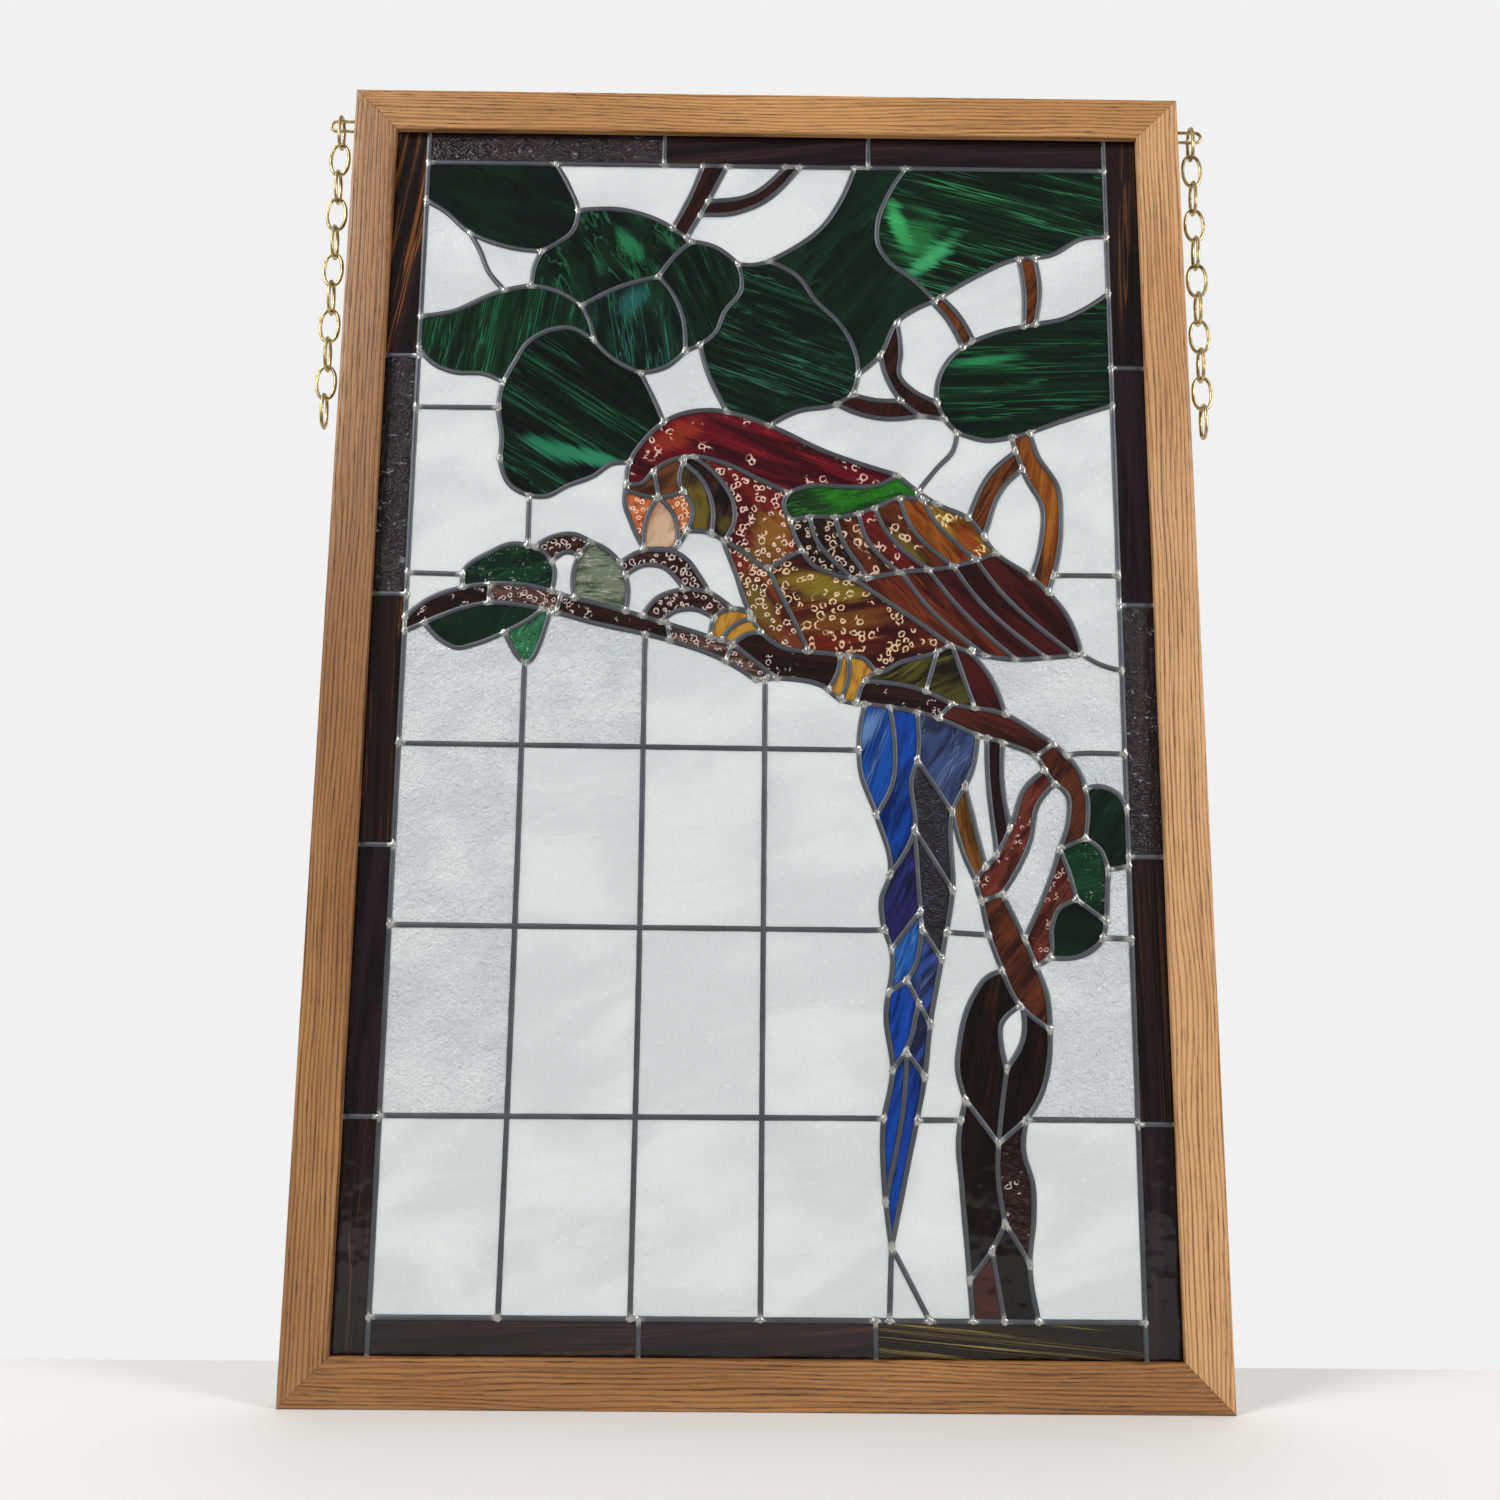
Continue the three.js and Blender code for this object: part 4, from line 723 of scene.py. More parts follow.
def glass_material(name):
    """The finish of one kind of pane.

    The point on the pane is turned and moved by the pane's own cut, as a pane is cut anywhere from its sheet,
    and divided by the streaks' length and width. Noise there mixes the dark and body colours, and the thin
    ridge where a second noise passes its middle value makes the wisps. A spot is full in its middle and fades
    at a ragged distance. A ring is a painted highlight, a glint on the rim of a dimple: it is where the
    distance to the nearest scattered point passes a value, broken by noise and left out in patches. Flecks
    are painted
    glints too: the peaks of a fine noise.
    """
    look = GLASS[name]
    constants = {
        "Transmission Weight": look["through"], "IOR": 1.5, "Roughness": look["rough"],
        "Specular IOR Level": 0.22, "Coat Weight": 0.1, "Coat Roughness": 0.04,
    }
    finish = Finish("glass_" + name, constants)
    place = finish.place()
    cut = finish.attribute("cut", "Vector")
    shift_x, shift_z, tilt = cut.apart()
    laid = finish.turn(place, "Y", tilt + math.radians(look["slope"]))
    length, width = look["streak"]
    offset = finish.node("ShaderNodeCombineXYZ", {}, {"X": shift_x, "Z": shift_z}).out(0)
    sheet = laid * (1 / length, 1 / STREAK_DEPTH, 1 / width) + offset
    clouds = finish.noise(sheet, detail=3.0, distortion=0.6)
    level = 0.75 - 0.5 * look["cover"]
    share = clouds.step(level - BAND_OF_MIX, level + BAND_OF_MIX)
    colour = finish.mix(share, rgb(look["dark"]), rgb(look["body"]))
    for x, y, along, across, slope, spot_colour, strength in look["spots"]:
        centre_x, centre_z = on_panel((x, y))
        spot = finish.turn(place - (float(centre_x), 0.0, float(centre_z)), "Y", math.radians(slope))
        spot = spot * (1 / along, 0.0, 1 / across)
        ragged = finish.noise(sheet * 1.7, detail=4.0, distortion=1.2)
        reach = finish.node("ShaderNodeVectorMath", {"operation": "LENGTH"}, {0: spot}).out("Value")
        edge = (reach + (ragged - 0.5) * 1.6).step(1.1, 0.35, 0.0, strength)
        colour = finish.mix(edge, colour, rgb(spot_colour))
    threads = finish.noise(sheet * (0.7, 1.0, 1.5) + 7.3, detail=2.0, distortion=1.4)
    ridge = abs(threads - 0.5).step(WISP_HALF_WIDTH, 0.0)
    patches = finish.noise(sheet * 0.8 + 3.1, detail=1.0).step(0.42, 0.62)
    colour = finish.mix(ridge * patches * look["wisps"], colour, rgb(look["wisp"]))
    flat = place * (1.0, 0.0, 1.0) + offset
    # Rings: painted highlights, the glints of lamps on the rims of the dimples, mixed into the base colour.
    if look["rings"]:
        pitch, shown, glint_colour = look["rings"]
        bent = flat / pitch + finish.noise(flat / pitch * 1.3, detail=1.0) * 0.5
        reach = finish.noise(flat / pitch * 0.9 + 4.4, detail=1.0) * 0.5
        rim = abs(finish.cells(finish.turn(bent, "X", math.radians(90))) - reach).step(GLINT_RIM_OUTER, GLINT_RIM_INNER)
        broken = finish.noise(flat / pitch * 2.3, detail=1.0).step(0.36, 0.46)
        lit = finish.noise(flat / pitch * 0.45 + 2.2, detail=1.0).step(0.64 - 0.4 * shown, 0.7 - 0.4 * shown)
        colour = finish.mix(rim * broken * lit, colour, rgb(glint_colour))
    # Flecks: painted highlights, fine specks of glint mixed into the base colour.
    if look["glint_flecks"]:
        size, shown, glint_fleck_colour = look["glint_flecks"]
        glint_speck = finish.noise(flat * (0.7, 0.0, 1.0) / size, detail=3.0, distortion=0.8, roughness=0.7)
        area = finish.noise(flat * 0.02 + 5.1, detail=2.0).step(0.4, 0.62, 0.35, 1.0)
        colour = finish.mix(glint_speck.step(GLINT_FLECK_LOW, GLINT_FLECK_HIGH) * area * shown, colour, rgb(glint_fleck_colour))
    finish.surface(Base_Color=colour)
    if look["relief"] == "granite":
        coarse = finish.noise(place * 0.16 + offset, detail=1.0)
        grain = finish.noise(place * 0.45 + offset, detail=2.0) + coarse
        finish.surface(Normal=finish.bump(grain, GRANITE_BUMP))
    elif look["relief"] == "smooth":
        finish.surface(Normal=finish.bump(finish.noise(place * 0.06 + offset, detail=1.0), SMOOTH_BUMP))
    else:
        finish.surface(Normal=finish.bump(finish.noise(place * 0.2 + offset, detail=2.0), FINE_BUMP))
    return finish.material


def lead_material():
    """Dull grey came. Where the lead carries tin from a joint, it is brighter and smoother."""
    finish = Finish("lead", {"Metallic": 0.85, "IOR": 1.5})
    place = finish.place()
    speckle = finish.noise(place * 0.5, detail=4.0)
    drift = finish.noise(place * 0.03, detail=2.0)
    tin = (finish.attribute("tin", "Fac") + (speckle - 0.5) * 0.9).step(0.35, 0.75)
    grey = finish.mix(drift, rgb("#484b50"), rgb("#66696e"))
    finish.surface(
        Base_Color=finish.mix(tin, grey, rgb("#a4a4a1")),
        Roughness=0.5 - 0.12 * tin + (speckle - 0.5) * 0.2,
        Normal=finish.bump(finish.noise(place * 0.8, detail=3.0), 0.0003),
    )
    return finish.material


def solder_material():
    """Bright solder with a dull skin in patches."""
    finish = Finish("solder", {"Metallic": 0.9, "IOR": 1.5})
    place = finish.place()
    patches = finish.noise(place * 0.35, detail=4.0)
    skin = patches.step(0.5, 0.68)
    finish.surface(
        Base_Color=finish.mix(skin, rgb("#b8b8b3"), rgb("#7a7a79")),
        Roughness=0.3 + 0.2 * skin,
        Normal=finish.bump(patches, 0.0006),
    )
    return finish.material


def oak_material(name, along, light, mid, dark, stain=None):
    """Open-grained oak. Its grain runs along one axis of the object.

    The bands are waves across the board, bent by a slow noise along it. The pores are a fine noise drawn out
    about thirty times along the grain, dark where it is high.
    """
    finish = Finish(name, {"IOR": 1.45, "Coat Weight": 0.12, "Coat Roughness": 0.35})
    place = finish.place()
    if along == "X":
        place = finish.turn(place, "Y", math.radians(90))
    bend = finish.noise(place * (0.02, 0.02, 0.0035), detail=2.0)
    rings = place * (0.16, 0.05, 0.004) + bend * 3.4
    bands = finish.node("ShaderNodeTexWave", {"wave_type": "BANDS", "bands_direction": "X"}, {
        "Vector": rings, "Scale": 0.55, "Distortion": 2.2, "Detail": 2.0, "Detail Scale": 0.8,
    }).out("Fac")
    pores = finish.noise(place * (1.5, 1.5, 0.045), detail=3.0, roughness=0.6)
    streaks = finish.noise(place * (0.5, 0.5, 0.008), detail=2.0)
    patches = finish.noise(place * (0.01, 0.01, 0.003), detail=2.0)
    colour = finish.mix(patches.step(0.35, 0.65), rgb(mid), rgb(light))
    grain = bands.step(0.55, 0.95) * 0.55 + streaks.step(0.5, 0.7) * 0.45
    colour = finish.mix(grain, colour, rgb(dark))
    open_pores = pores.step(0.55, 0.72) * (0.35 + 0.65 * bands.step(0.25, 0.8))
    colour = finish.mix(open_pores * 0.9, colour, rgb(dark, 0.4))
    if stain:
        x, z, reach, stain_colour = stain
        spot = finish.place() - (x, 0.0, z)
        away = finish.node("ShaderNodeVectorMath", {"operation": "LENGTH"}, {0: spot}).out("Value")
        ragged = away / reach + (streaks - 0.5) * 1.2
        colour = finish.mix(ragged.step(1.2, 0.4, 0.0, 0.85), colour, rgb(stain_colour))
    finish.surface(
        Base_Color=colour,
        Roughness=0.42 + 0.25 * open_pores,
        Normal=finish.bump(1 - open_pores - 0.3 * grain, 0.0005),
    )
    return finish.material


def brass_material():
    """Pale antique brass, browner in patches."""
    finish = Finish("brass", {"Metallic": 0.95, "IOR": 1.5})
    place = finish.place()
    patches = finish.noise(place * 0.12, detail=4.0).step(0.4, 0.68)
    finish.surface(
        Base_Color=finish.mix(patches, rgb("#c9b583"), rgb("#8a7444")),
        Roughness=0.28 + 0.2 * patches,
        Normal=finish.bump(finish.noise(place * 0.9, detail=2.0), 0.0002),
    )
    return finish.material


def plain_material(name, colour, roughness):
    """One flat colour, for the studio."""
    return Finish(name, {"Base Color": colour, "Roughness": roughness}).material


def add_object(name, points, faces, materials, choice=None, attributes=None, smooth=True, sharp=None):
    """A mesh object from points in millimetres and arrays of faces, each with its own number of corners."""
    mesh = bpy.data.meshes.new(name)
    corners = np.concatenate([f.ravel() for f in faces]).astype(np.int32)
    sizes = np.concatenate([np.full(len(f), f.shape[1]) for f in faces])
    starts = np.concatenate([[0], np.cumsum(sizes)[:-1]]).astype(np.int32)
    mesh.vertices.add(len(points))
    mesh.vertices.foreach_set("co", (np.asarray(points) * MM).astype(np.float32).ravel())
    mesh.loops.add(len(corners))
    mesh.loops.foreach_set("vertex_index", corners)
    mesh.polygons.add(len(sizes))
    mesh.polygons.foreach_set("loop_start", starts)
    for material in materials:
        mesh.materials.append(material)
    if choice is not None:
        mesh.polygons.foreach_set("material_index", choice.astype(np.int32))
    mesh.polygons.foreach_set("use_smooth", np.full(len(sizes), smooth))
    for key, values in (attributes or {}).items():
        kind = "FLOAT_VECTOR" if values.ndim == 2 else "FLOAT"
        field = "vector" if values.ndim == 2 else "value"
        mesh.attributes.new(key, kind, "POINT").data.foreach_set(field, values.astype(np.float32).ravel())
    mesh.update(calc_edges=True)
    if sharp is not None:
        mesh.set_sharp_from_angle(angle=math.radians(sharp))
    piece = bpy.data.objects.new(name, mesh)
    bpy.context.scene.collection.objects.link(piece)
    return piece


def part_of_window(piece, slot, *nodes):
    """The piece rides on the window and stands for solids of the frame, which it hides. The slot is not used.
    """
    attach(piece, "root")
    if nodes:
        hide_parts(*nodes)


def ring_faces(rings, sides, closed):
    """Quads between neighbouring rings of corners. A closed run also joins its last ring to its first."""
    ring = np.arange(rings if closed else rings - 1)[:, None]
    side = np.arange(sides)[None, :]
    after = (ring + 1) % rings
    beside = (side + 1) % sides
    quads = (ring * sides + side, ring * sides + beside, after * sides + beside, after * sides + side)
    return np.stack(np.broadcast_arrays(*quads), axis=-1).reshape(-1, 4)


def end_faces(rings, sides):
    """The two flat ends of an open run of rings."""
    first = np.arange(sides)[None, ::-1]
    last = (rings - 1) * sides + np.arange(sides)[None, :]
    return np.concatenate([first, last])


def joined(parts):
    """Points and faces of several shapes as one: each shape's faces count on from the points before it."""
    points, faces, count = [], {}, 0
    for part_points, part_faces in parts:
        for group in part_faces:
            faces.setdefault(group.shape[1], []).append(group + count)
        points.append(part_points)
        count += len(part_points)
    return np.concatenate(points), [np.concatenate(group) for group in faces.values()]


def curve(points, step):
    """A smooth line through the points, sampled about every step.

    Between two points it is the cubic with the end slopes of both. The slope at a point is the mean of the
    chords on its two sides, the shorter chord counting more.
    """
    knots = np.asarray(points, float)
    runs = np.diff(knots, axis=0)
    gaps = np.linalg.norm(runs, axis=1)
    chords = runs / gaps[:, None]
    slopes = np.repeat(chords[:1], len(knots), axis=0)
    if len(knots) > 2:
        weights = gaps[1:, None] + gaps[:-1, None]
        slopes[1:-1] = (chords[1:] * gaps[:-1, None] + chords[:-1] * gaps[1:, None]) / weights
        slopes[0] = 1.5 * chords[0] - 0.5 * slopes[1]
        slopes[-1] = 1.5 * chords[-1] - 0.5 * slopes[-2]
    reach = np.concatenate([[0], np.cumsum(gaps)])
    at = np.linspace(0, reach[-1], max(2, round(reach[-1] / step) + 1))
    span = np.clip(np.searchsorted(reach, at, side="right") - 1, 0, len(gaps) - 1)
    gap = gaps[span][:, None]
    t = ((at - reach[span]) / gaps[span])[:, None]
    start = (2 * t**3 - 3 * t**2 + 1) * knots[span] + (t**3 - 2 * t**2 + t) * gap * slopes[span]
    end = (3 * t**2 - 2 * t**3) * knots[span + 1] + (t**3 - t**2) * gap * slopes[span + 1]
    return start + end


def distances(points, starts, ends):
    """The distance from each point to each segment, and where on the segment its nearest point is."""
    run = ends - starts
    rel = points[:, None, :] - starts
    t = np.clip((rel * run).sum(-1) / (run**2).sum(-1), 0, 1)
    feet = starts + run * t[..., None]
    return np.linalg.norm(points[:, None, :] - feet, axis=-1), feet


STRAIGHT_STEP = 9.0
CURVED_STEP = 3.2
REACH_OF_SNAP = 6.0
EASE_OF_SNAP = 14.0
CROSSING = 0.4


def drawn_leads():
    """Every lead of the cartoon and its rim as a sampled line, with each end drawn onto the lead it meets.

    An end moves to the nearest point of another lead. The move fades out along the line as its distance
    from the end grows. The short step beyond that point, which makes sure that the two lines cross, is added
    later, where the panes are cut.
    """
    rim = {
        "rim_left": ((RIM_L, RIM_B), (RIM_L, RIM_T)), "rim_right": ((RIM_R, RIM_B), (RIM_R, RIM_T)),
        "rim_foot": ((RIM_L, RIM_B), (RIM_R, RIM_B)), "rim_top": ((RIM_L, RIM_T), (RIM_R, RIM_T)),
    }
    names = [*rim, *LEADS]
    lines = [
        curve(points, STRAIGHT_STEP if len(points) == 2 else CURVED_STEP)
        for points in (rim | LEADS).values()
    ]
    for _ in range(2):
        for k in range(len(rim), len(lines)):
            starts = np.concatenate([line[:-1] for i, line in enumerate(lines) if i != k])
            ends = np.concatenate([line[1:] for i, line in enumerate(lines) if i != k])
            for tip in (0, -1):
                away, feet = distances(lines[k][[tip]], starts, ends)
                nearest = away.argmin()
                if away[0, nearest] > REACH_OF_SNAP:
                    raise ValueError(f"{names[k]} ends on no other lead, {away.min():.1f} mm away")
                shift = feet[0, nearest] - lines[k][tip]
                fade = np.clip(1 - np.linalg.norm(lines[k] - lines[k][tip], axis=1) / EASE_OF_SNAP, 0, 1)
                lines[k] = lines[k] + shift * fade[:, None]
    return dict(zip(names, lines))


def with_tips(line):
    """A line with a short extra step past each of its ends."""
    first = line[0] + CROSSING * (line[0] - line[1]) / np.linalg.norm(line[0] - line[1])
    last = line[-1] + CROSSING * (line[-1] - line[-2]) / np.linalg.norm(line[-1] - line[-2])
    return np.concatenate([[first], line, [last]])


def triangulate(points, edges, kind):
    """Triangles that keep the edges. Kind 0 fills the points' hull, and 1 only what the edges enclose."""
    made = delaunay_2d_cdt(points.tolist(), edges.tolist(), [], kind, 0.001)
    corners = np.array([tuple(v) for v in made[0]])
    return corners, np.array(made[1]), np.array(made[2]), [bool(origin) for origin in made[4]]


def regions(lines):
    """The panes between the leads: corners, triangles, and a number for each triangle's pane.

    Neighbouring triangles take the lower of their two numbers, over and over, except across a lead.
    """
    tipped = [line if name.startswith("rim") else with_tips(line) for name, line in lines.items()]
    counts = np.cumsum([0] + [len(line) for line in tipped])
    edges = np.concatenate([np.stack([np.arange(a, b - 1), np.arange(a + 1, b)], 1)
                            for a, b in zip(counts[:-1], counts[1:])])
    corners, pairs, triangles, is_lead = triangulate(np.concatenate(tipped), edges, 0)
    size = len(corners)
    key = np.sort(pairs, axis=1) @ (size, 1)
    lead_keys = key[np.array(is_lead)]
    sides = np.concatenate([triangles[:, [0, 1]], triangles[:, [1, 2]], triangles[:, [2, 0]]])
    sides = np.sort(sides, axis=1)
    owner = np.tile(np.arange(len(triangles)), 3)
    side_keys = sides @ (size, 1)
    order = np.argsort(side_keys, kind="stable")
    same = np.nonzero(side_keys[order][1:] == side_keys[order][:-1])[0]
    first, second = owner[order[same]], owner[order[same + 1]]
    open_side = ~np.isin(side_keys[order[same]], lead_keys)
    first, second = first[open_side], second[open_side]
    label = np.arange(len(triangles))
    while True:
        before = label.copy()
        lower = np.minimum(label[first], label[second])
        np.minimum.at(label, first, lower)
        np.minimum.at(label, second, lower)
        label = label[label]
        if (label == before).all():
            return corners, triangles, label


def outline_of(triangles, corners):
    """The rim of a patch of triangles as one ordered loop: the sides that no other triangle runs back along.

    Where the rim touches itself the walk sheds a loop, and the loop of the largest area is the answer.
    """
    size = len(corners)
    sides = np.concatenate([triangles[:, [0, 1]], triangles[:, [1, 2]], triangles[:, [2, 0]]])
    rim = sides[~np.isin(sides @ (size, 1), sides[:, ::-1] @ (size, 1))].tolist()
    following = {}
    for start, end in rim:
        following.setdefault(start, []).append(end)
    loops, path = [], [rim[0][0]]
    for _ in rim:
        after = following[path[-1]].pop()
        if after in path:
            first = path.index(after)
            loops.append(path[first:])
            path = path[:first + 1]
        else:
            path.append(after)
        if not following[path[-1]]:
            start = next((key for key, left in following.items() if left), None)
            if start is None:
                break
            path = [start]

    def area(loop):
        x, z = corners[loop].T
        return abs(x @ np.roll(z, -1) - z @ np.roll(x, -1)) / 2

    return np.array(max(loops, key=area))


CORNER_TURN = 0.45
CORNER_ROOM = 1.8


def cleaned(loop):
    """A loop without the points that crowd its corners or each other."""
    into = loop - np.roll(loop, 1, axis=0)
    out = np.roll(loop, -1, axis=0) - loop
    turn = np.abs(np.arctan2(into[:, 0] * out[:, 1] - into[:, 1] * out[:, 0], (into * out).sum(1)))
    is_corner = turn > CORNER_TURN
    corners = loop[is_corner]
    if len(corners):
        away = np.linalg.norm(loop[:, None] - corners[None], axis=-1)
        away[np.nonzero(is_corner)[0], np.arange(len(corners))] = np.inf
        crowded = (away < CORNER_ROOM).any(1) & ~is_corner
        earlier = away[is_corner] < CORNER_ROOM / 2
        twin = np.zeros(len(loop), bool)
        twin[is_corner] = np.tril(earlier, -1).any(1)
        loop = loop[~crowded & ~twin]
    gap = np.linalg.norm(loop - np.roll(loop, 1, axis=0), axis=1)
    return loop[gap > CORNER_ROOM / 4]


def inset(loop, distance):
    """A loop moved inwards: each point goes along the mean of its two sides' normals, further at a corner."""
    side = np.roll(loop, -1, axis=0) - loop
    normal = np.stack([-side[:, 1], side[:, 0]], 1) / np.linalg.norm(side, axis=1)[:, None]
    before = np.roll(normal, 1, axis=0)
    mean = normal + before
    mitre = mean / np.maximum(1 + (normal * before).sum(1), 0.35)[:, None]
    return loop + mitre * distance


def waves(x, z, pitch, draw):
    """The mean of eight sine waves with drawn directions and starts, and with lengths near the pitch."""
    turn, start = draw.uniform(0, math.pi, 8), draw.uniform(0, 2 * math.pi, 8)
    length = pitch * draw.uniform(0.7, 1.4, 8)
    along = np.multiply.outer(x, np.cos(turn)) + np.multiply.outer(z, np.sin(turn))
    return np.sin(2 * math.pi * along / length + start).mean(-1)


def nearest_dimple(x, z, pitch, draw):
    """Distance to the nearest dimple. Every cell of a square grid has one, at a drawn place inside it."""
    cells = 48
    shift = draw.uniform(0.1, 0.9, (cells, cells, 2))
    i, j = np.floor(x / pitch).astype(int), np.floor(z / pitch).astype(int)
    best = np.full(x.shape, np.inf)
    for di in (-1, 0, 1):
        for dj in (-1, 0, 1):
            centre = shift[(i + di) % cells, (j + dj) % cells] + np.stack([i + di, j + dj], -1)
            best = np.minimum(best, np.hypot(x - centre[..., 0] * pitch, z - centre[..., 1] * pitch))
    return best


# The spacing of a pane's surface points for each kind of relief.
RELIEF_STEP = {"smooth": 6.0, "soft": 3.6, "granite": 2.4, "rippled": 1.3, "hammered": 1.2, "dimpled": 1.3}


def relief(kind, x, z, slope, draw):
    """How far the front of a pane stands out, in millimetres."""
    if kind == "smooth":
        return 0.05 * waves(x, z, 45, draw)
    if kind == "soft":
        return 0.08 * waves(x, z, 26, draw) + 0.04 * waves(x, z, 10, draw)
    if kind == "granite":
        return 0.1 * waves(x, z, 15, draw) + 0.12 * waves(x, z, 6.5, draw)
    if kind == "rippled":
        across = z * math.cos(math.radians(slope)) - x * math.sin(math.radians(slope))
        bent = across / 5.6 + 1.1 * waves(x, z, 24, draw)
        return 0.22 * np.sin(2 * math.pi * bent) - 0.15
    if kind == "hammered":
        away = nearest_dimple(x, z, 5.6, draw)
        return -0.42 * np.exp(-((away / 2.1) ** 2)) + 0.05 * waves(x, z, 14, draw)
    away = nearest_dimple(x, z, 11.0, draw)
    return -0.34 * np.exp(-((away / 1.7) ** 2)) + 0.05 * waves(x, z, 18, draw)


def inner_points(loop, step):
    """Points of a staggered grid that lie inside the loop and at least half a step from it."""
    low, high = loop.min(0), loop.max(0)
    rows = np.arange(low[1] + step / 2, high[1], step * math.sqrt(0.75))
    columns = np.arange(low[0], high[0] + step, step)
    x = columns[None, :] + (np.arange(len(rows)) % 2)[:, None] * step / 2
    z = np.broadcast_to(rows[:, None], x.shape)
    x, z = x.ravel(), z.ravel()
    (x0, z0), (x1, z1) = loop.T, np.roll(loop, -1, axis=0).T
    rise = np.where(z1 == z0, 1e-9, z1 - z0)
    above = (z0 > z[:, None]) != (z1 > z[:, None])
    crossed = above & (x[:, None] < (x1 - x0) * (z[:, None] - z0) / rise + x0)
    inside = crossed.sum(1) % 2 == 1
    points = np.stack([x, z], 1)[inside]
    if not len(points):
        return points
    away, _ = distances(points, loop, np.roll(loop, -1, axis=0))
    return points[away.min(1) > step / 2]


def ring_edges(count):
    """The sides of a closed loop of points, as pairs of numbers."""
    return np.stack([np.arange(count), (np.arange(count) + 1) % count], 1)


PANE_INSET = 0.75


def pane(loop, look, cut, draw):
    """One closed pane: its front surface with relief, its flat back and the wall between them."""
    loop = inset(cleaned(loop), PANE_INSET)
    fill = inner_points(loop, RELIEF_STEP[look["relief"]])
    corners, _, front, _ = triangulate(np.concatenate([loop, fill]), ring_edges(len(loop)), 1)
    rim = outline_of(front, corners)
    _, _, back, _ = triangulate(corners[rim], ring_edges(len(rim)), 1)
    x, z = corners.T
    high = relief(look["relief"], x, z, look["slope"] + math.degrees(cut[2]), draw)
    front_points = np.stack([x, GLASS_FRONT - high, z], 1)
    back_points = np.stack([x[rim], np.full(len(rim), GLASS_BACK), z[rim]], 1)
    after = np.roll(np.arange(len(rim)), -1)
    base = len(corners)
    wall = np.stack([rim, base + np.arange(len(rim)), base + after, rim[after]], 1)
    return np.concatenate([front_points, back_points]), [front, back[:, ::-1] + base, wall]


SMALLEST_PANE = 12.0


def panes_of(lines):
    """Each sheet's panes as (points, faces, finish, cut), found from a point inside each pane."""
    corners, triangles, label = regions(lines)
    rows = [(sheet, look, (x, y)) for sheet, panes in PANES.items() for look, x, y in panes]
    names, looks, seeds = zip(*rows)
    a, b, c = (corners[triangles[:, i]] for i in range(3))

    def side(p, q, points):
        return (q[:, 0] - p[:, 0]) * (points[:, 1] - p[:, 1]) - (q[:, 1] - p[:, 1]) * (points[:, 0] - p[:, 0])

    found = {}
    draw = np.random.default_rng(23)
    for name, look, seed in zip(names, looks, np.array(seeds, float)):
        at = seed[None, :]
        inside = (side(a, b, at) >= 0) & (side(b, c, at) >= 0) & (side(c, a, at) >= 0)
        number = label[inside][0]
        if number in found:
            raise ValueError(f"{name}: the pane at {seed} is already {found[number]}")
        found[number] = (name, tuple(seed), look)
    middle = (a + b + c) / 3
    on_sheet = ((middle > (RIM_L, RIM_B)) & (middle < (RIM_R, RIM_T))).all(1)
    areas = np.bincount(label, on_sheet * ((b - a)[:, 0] * (c - a)[:, 1] - (b - a)[:, 1] * (c - a)[:, 0]) / 2)
    for number in np.nonzero(areas > SMALLEST_PANE)[0]:
        if number not in found:
            centre = corners[triangles[label == number]].mean((0, 1))
            raise ValueError(f"the pane near {centre.round()} has no finish")
    sheets = {name: [] for name in PANES}
    for number, (name, seed, look) in found.items():
        loop = corners[outline_of(triangles[label == number], corners)]
        cut = np.array([*draw.uniform(-40, 40, 2), math.radians(draw.uniform(-7, 7))])
        points, faces = pane(on_panel(loop), GLASS[look], cut, draw)
        sheets[name].append((points, faces, look, cut))
    return sheets


# How far the came's lips stand off the glass, how far its faces stay inside the panel, and half its heart.
LIP_GAP = 0.12
FACE_ROOM = 0.05
HALF_HEART = 0.25
# Solder starts this far off the glass, and its flat underside lies this much nearer to it.
SOLDER_GAP = 0.14
SOLDER_SINK = 0.12
# The distance at which a joint looks for leads, and how near a lead has to pass for an arm.
ARM_PROBE = 6.0
ARM_SPREAD = 1.6


